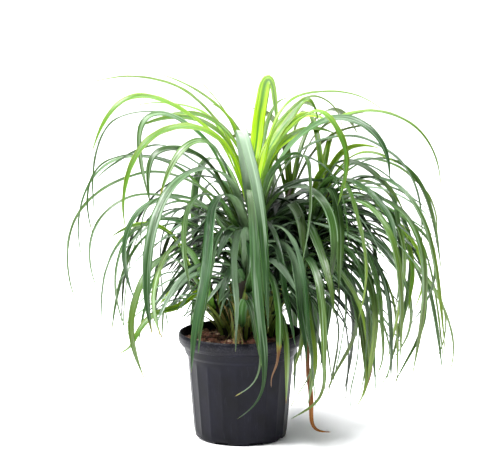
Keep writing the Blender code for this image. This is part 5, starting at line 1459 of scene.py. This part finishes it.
def old_base_finish():
    """Old leaf bases: olive green at the foot, straw-coloured and fibrous toward the torn edge, dull all
    over. The fibres are 1.4 mm apart."""
    made, add = new_finish("old_leaf_base_fibre")
    at = leaf_marks(add)
    grain = grained(add, at["blade"], (1.43, 33.3, 1), 4.0, 0.6, 1)
    fibres = add("MapRange", (grain, 0.3, 0.7))
    green = layered(add, tone("#3a4a18"), [(fibres, tone("#8ea23e"))])
    straw = layered(add, tone("#5c4826"), [(fibres, tone("#b09a60"))])
    wither = add("Math", (at["tone"], 0.6), operation="MULTIPLY")
    wither = add("Math", (at["share"], 0.6, wither), operation="MULTIPLY_ADD")
    colour = layered(add, green, [(add("MapRange", (wither, 0.6, 1.05)), straw)])
    add("OutputMaterial", [skinned(add, colour, 0.6, grain, 0.6, 0.7)])
    return made


def wood_finish():
    """The bare stem: bark whose dark brown is partly its own and partly painted shade from the leaves round
    it, with paler fibres 2.4 mm apart that run up it and paler rings 3 mm high; dry and matt."""
    made, add = new_finish("stem_bark")
    place = add("TexCoord", output="Object")
    fibres = grained(add, place, (2.38, 2.38, 25), 5.0)
    rings = grained(add, place, (50, 50, 3.03))
    colour = layered(add, tone("#17120b"), [
        (add("MapRange", (fibres, 0.3, 0.7)), tone("#3a3220")),
        (add("MapRange", (rings, 0.52, 0.62, 0.0, 0.7)), tone("#2f2519"))])
    add("OutputMaterial", [skinned(add, colour, 0.8, fibres, 0.6, 1)])
    return made


def plastic_finish():
    """Moulded black polyethylene of a nursery pot: charcoal and satin, in patches 42 mm wide, scuffed
    upright by stacking in streaks 4 mm apart and 71 mm long, with specks of dust, 3 mm apart, at the rim."""
    made, add = new_finish("moulded_polyethylene")
    place = add("TexCoord", output="Object")
    height = add("SeparateXYZ", [place], "Z")
    scuffs = grained(add, place, (3.85, 3.85, 71.4), 6.0, 0.7)
    stains = grained(add, place, (41.7, 41.7, 41.7), 4.0)
    specks = grained(add, place, (3.03, 3.03, 3.03), 3.0)
    dust = add("Math", (add("MapRange", (height, 0.188, 0.215, 0.0, 0.15)),
                        add("MapRange", (specks, 0.45, 0.7))), operation="MULTIPLY")
    colour = layered(add, tone("#05050c"), [
        (add("MapRange", (stains, 0.35, 0.7)), tone("#0d0d19")),
        (add("MapRange", (scuffs, 0.56, 0.76, 0.0, 0.16)), tone("#4c4d5c")),
        (dust, tone("#77757a"))])
    satin = add("MapRange", (scuffs, 0.3, 0.7, 0.36, 0.52))
    skin = skinned(add, colour, satin, specks, 0.15, 0.4, {"IOR": 1.45, "Specular IOR Level": 0.15})
    add("OutputMaterial", [skin])
    return made


def soil_finish():
    """Composted filling between the chips: dark, dry crumbs 4 mm across, with no gloss."""
    made, add = new_finish("composted_filling")
    crumbs = grained(add, add("TexCoord", output="Object"), (3.85, 3.85, 3.85), 5.0)
    colour = layered(add, tone("#261510"), [(add("MapRange", (crumbs, 0.35, 0.7)), tone("#5c3828"))])
    add("OutputMaterial", [skinned(add, colour, 0.9, crumbs, 0.9, 2)])
    return made


def bark_finish():
    """Pine bark chips: red-brown and dull, with a grain of 2.4 mm, a few of them pale where the bark has
    flaked off."""
    made, add = new_finish("pine_bark")
    own, pale = (add("SeparateColor", [add("Attribute", attribute_name="marks")], part) for part in (0, 1))
    grain = grained(add, add("TexCoord", output="Object"), (2.38, 2.38, 2.38), 5.0)
    mixed = add("Math", (own, 0.6), operation="MULTIPLY")
    mixed = add("Math", (grain, 0.6, mixed), operation="MULTIPLY_ADD")
    colour = layered(add, tone("#2c160f"), [
        (add("MapRange", (mixed, 0.2, 1.0)), tone("#8e5c49")),
        (add("Math", (pale, 0.8), operation="MULTIPLY"), tone("#b0917c"))])
    add("OutputMaterial", [skinned(add, colour, 0.85, grain, 0.8, 1)])
    return made


def paper_finish():
    """White studio paper, matt."""
    made, add = new_finish("studio_paper")
    add("OutputMaterial", [add("BsdfPrincipled", {"Base Color": tone("#fdfdfe"), "Roughness": 0.8,
                                                  "Specular IOR Level": 0.2})])
    return made


def make_studio():
    """A white floor that sweeps up into a backdrop, a large soft light from the upper left front, a weaker
    one from the right, one on the backdrop, and the photo's camera."""
    scene = bpy.context.scene
    turn = np.linspace(0, np.pi / 2, SWEEP_POINTS + 1)[1:]
    rows = [(FLOOR_FRONT, 0.0), (FLOOR_BACK, 0.0)]
    rows += list(zip(FLOOR_BACK + SWEEP * np.sin(turn), SWEEP - SWEEP * np.cos(turn)))
    rows.append((FLOOR_BACK + SWEEP, WALL_TOP))
    mesh = bpy.data.meshes.new("studio_floor")
    points = [(x, y, z) for y, z in rows for x in (-FLOOR_HALF, FLOOR_HALF)]
    mesh.from_pydata(points, [], grid_faces(len(rows), 2, closed=False))
    mesh.polygons.foreach_set("use_smooth", np.full(len(mesh.polygons), True))
    mesh.materials.append(paper_finish())
    floor = bpy.data.objects.new("studio_floor", mesh)
    scene.collection.objects.link(floor)
    floor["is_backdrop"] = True
    scene.world = bpy.data.worlds.new("studio_air")
    scene.world.use_nodes = True
    air = scene.world.node_tree.nodes["Background"].inputs
    air["Color"].default_value, air["Strength"].default_value = tone(AIR_COLOUR), AIR
    for name, place, aim, size, power, colour in LAMPS:
        lamp = bpy.data.lights.new(name, "AREA")
        lamp.shape, lamp.size, lamp.energy, lamp.color = "DISK", size, power, tone(colour)[:3]
        thing = bpy.data.objects.new(name, lamp)
        thing.location = place
        thing.rotation_euler = (Vector(aim) - Vector(place)).to_track_quat("-Z", "Y").to_euler()
        scene.collection.objects.link(thing)
    eye = bpy.data.cameras.new("photo_eye")
    eye.lens, eye.sensor_width, eye.shift_x = LENS, 36, LENS_SHIFT
    thing = bpy.data.objects.new("photo_eye", eye)
    thing.location = (0, -EYE_BACK * MM, EYE_HEIGHT * MM)
    thing.rotation_euler = (np.pi / 2 - EYE_PITCH, 0, 0)
    scene.collection.objects.link(thing)
    scene.camera = thing
    scene.view_settings.view_transform = "Standard"


LEAF_FINISHES = {
    "mature_leaf": leaf_finish("waxy_mature_leaf", MATURE_LOOK),
    "young_leaf": leaf_finish("soft_young_leaf", YOUNG_LOOK),
    "dry_leaf": dry_leaf_finish(),
}
WOOD = wood_finish()
OLD_BASE = old_base_finish()
MOULDED_PLASTIC = plastic_finish()
SOIL = soil_finish()
BARK = bark_finish()

make_leaves(grow_leaves())
make_leaves([leaf for row in INNER for leaf in inner_leaves(row)])
for name in STEMS:
    make_wood(name)
make_old_bases()
make_pot()
make_soil()
make_bark_chips()
make_studio()

corners = [SOLID_LOW, SOLID_HIGH, *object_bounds()]
{"solids": [list(c) for c in corners[:2]], "shown": [list(c) for c in corners[2:]]}
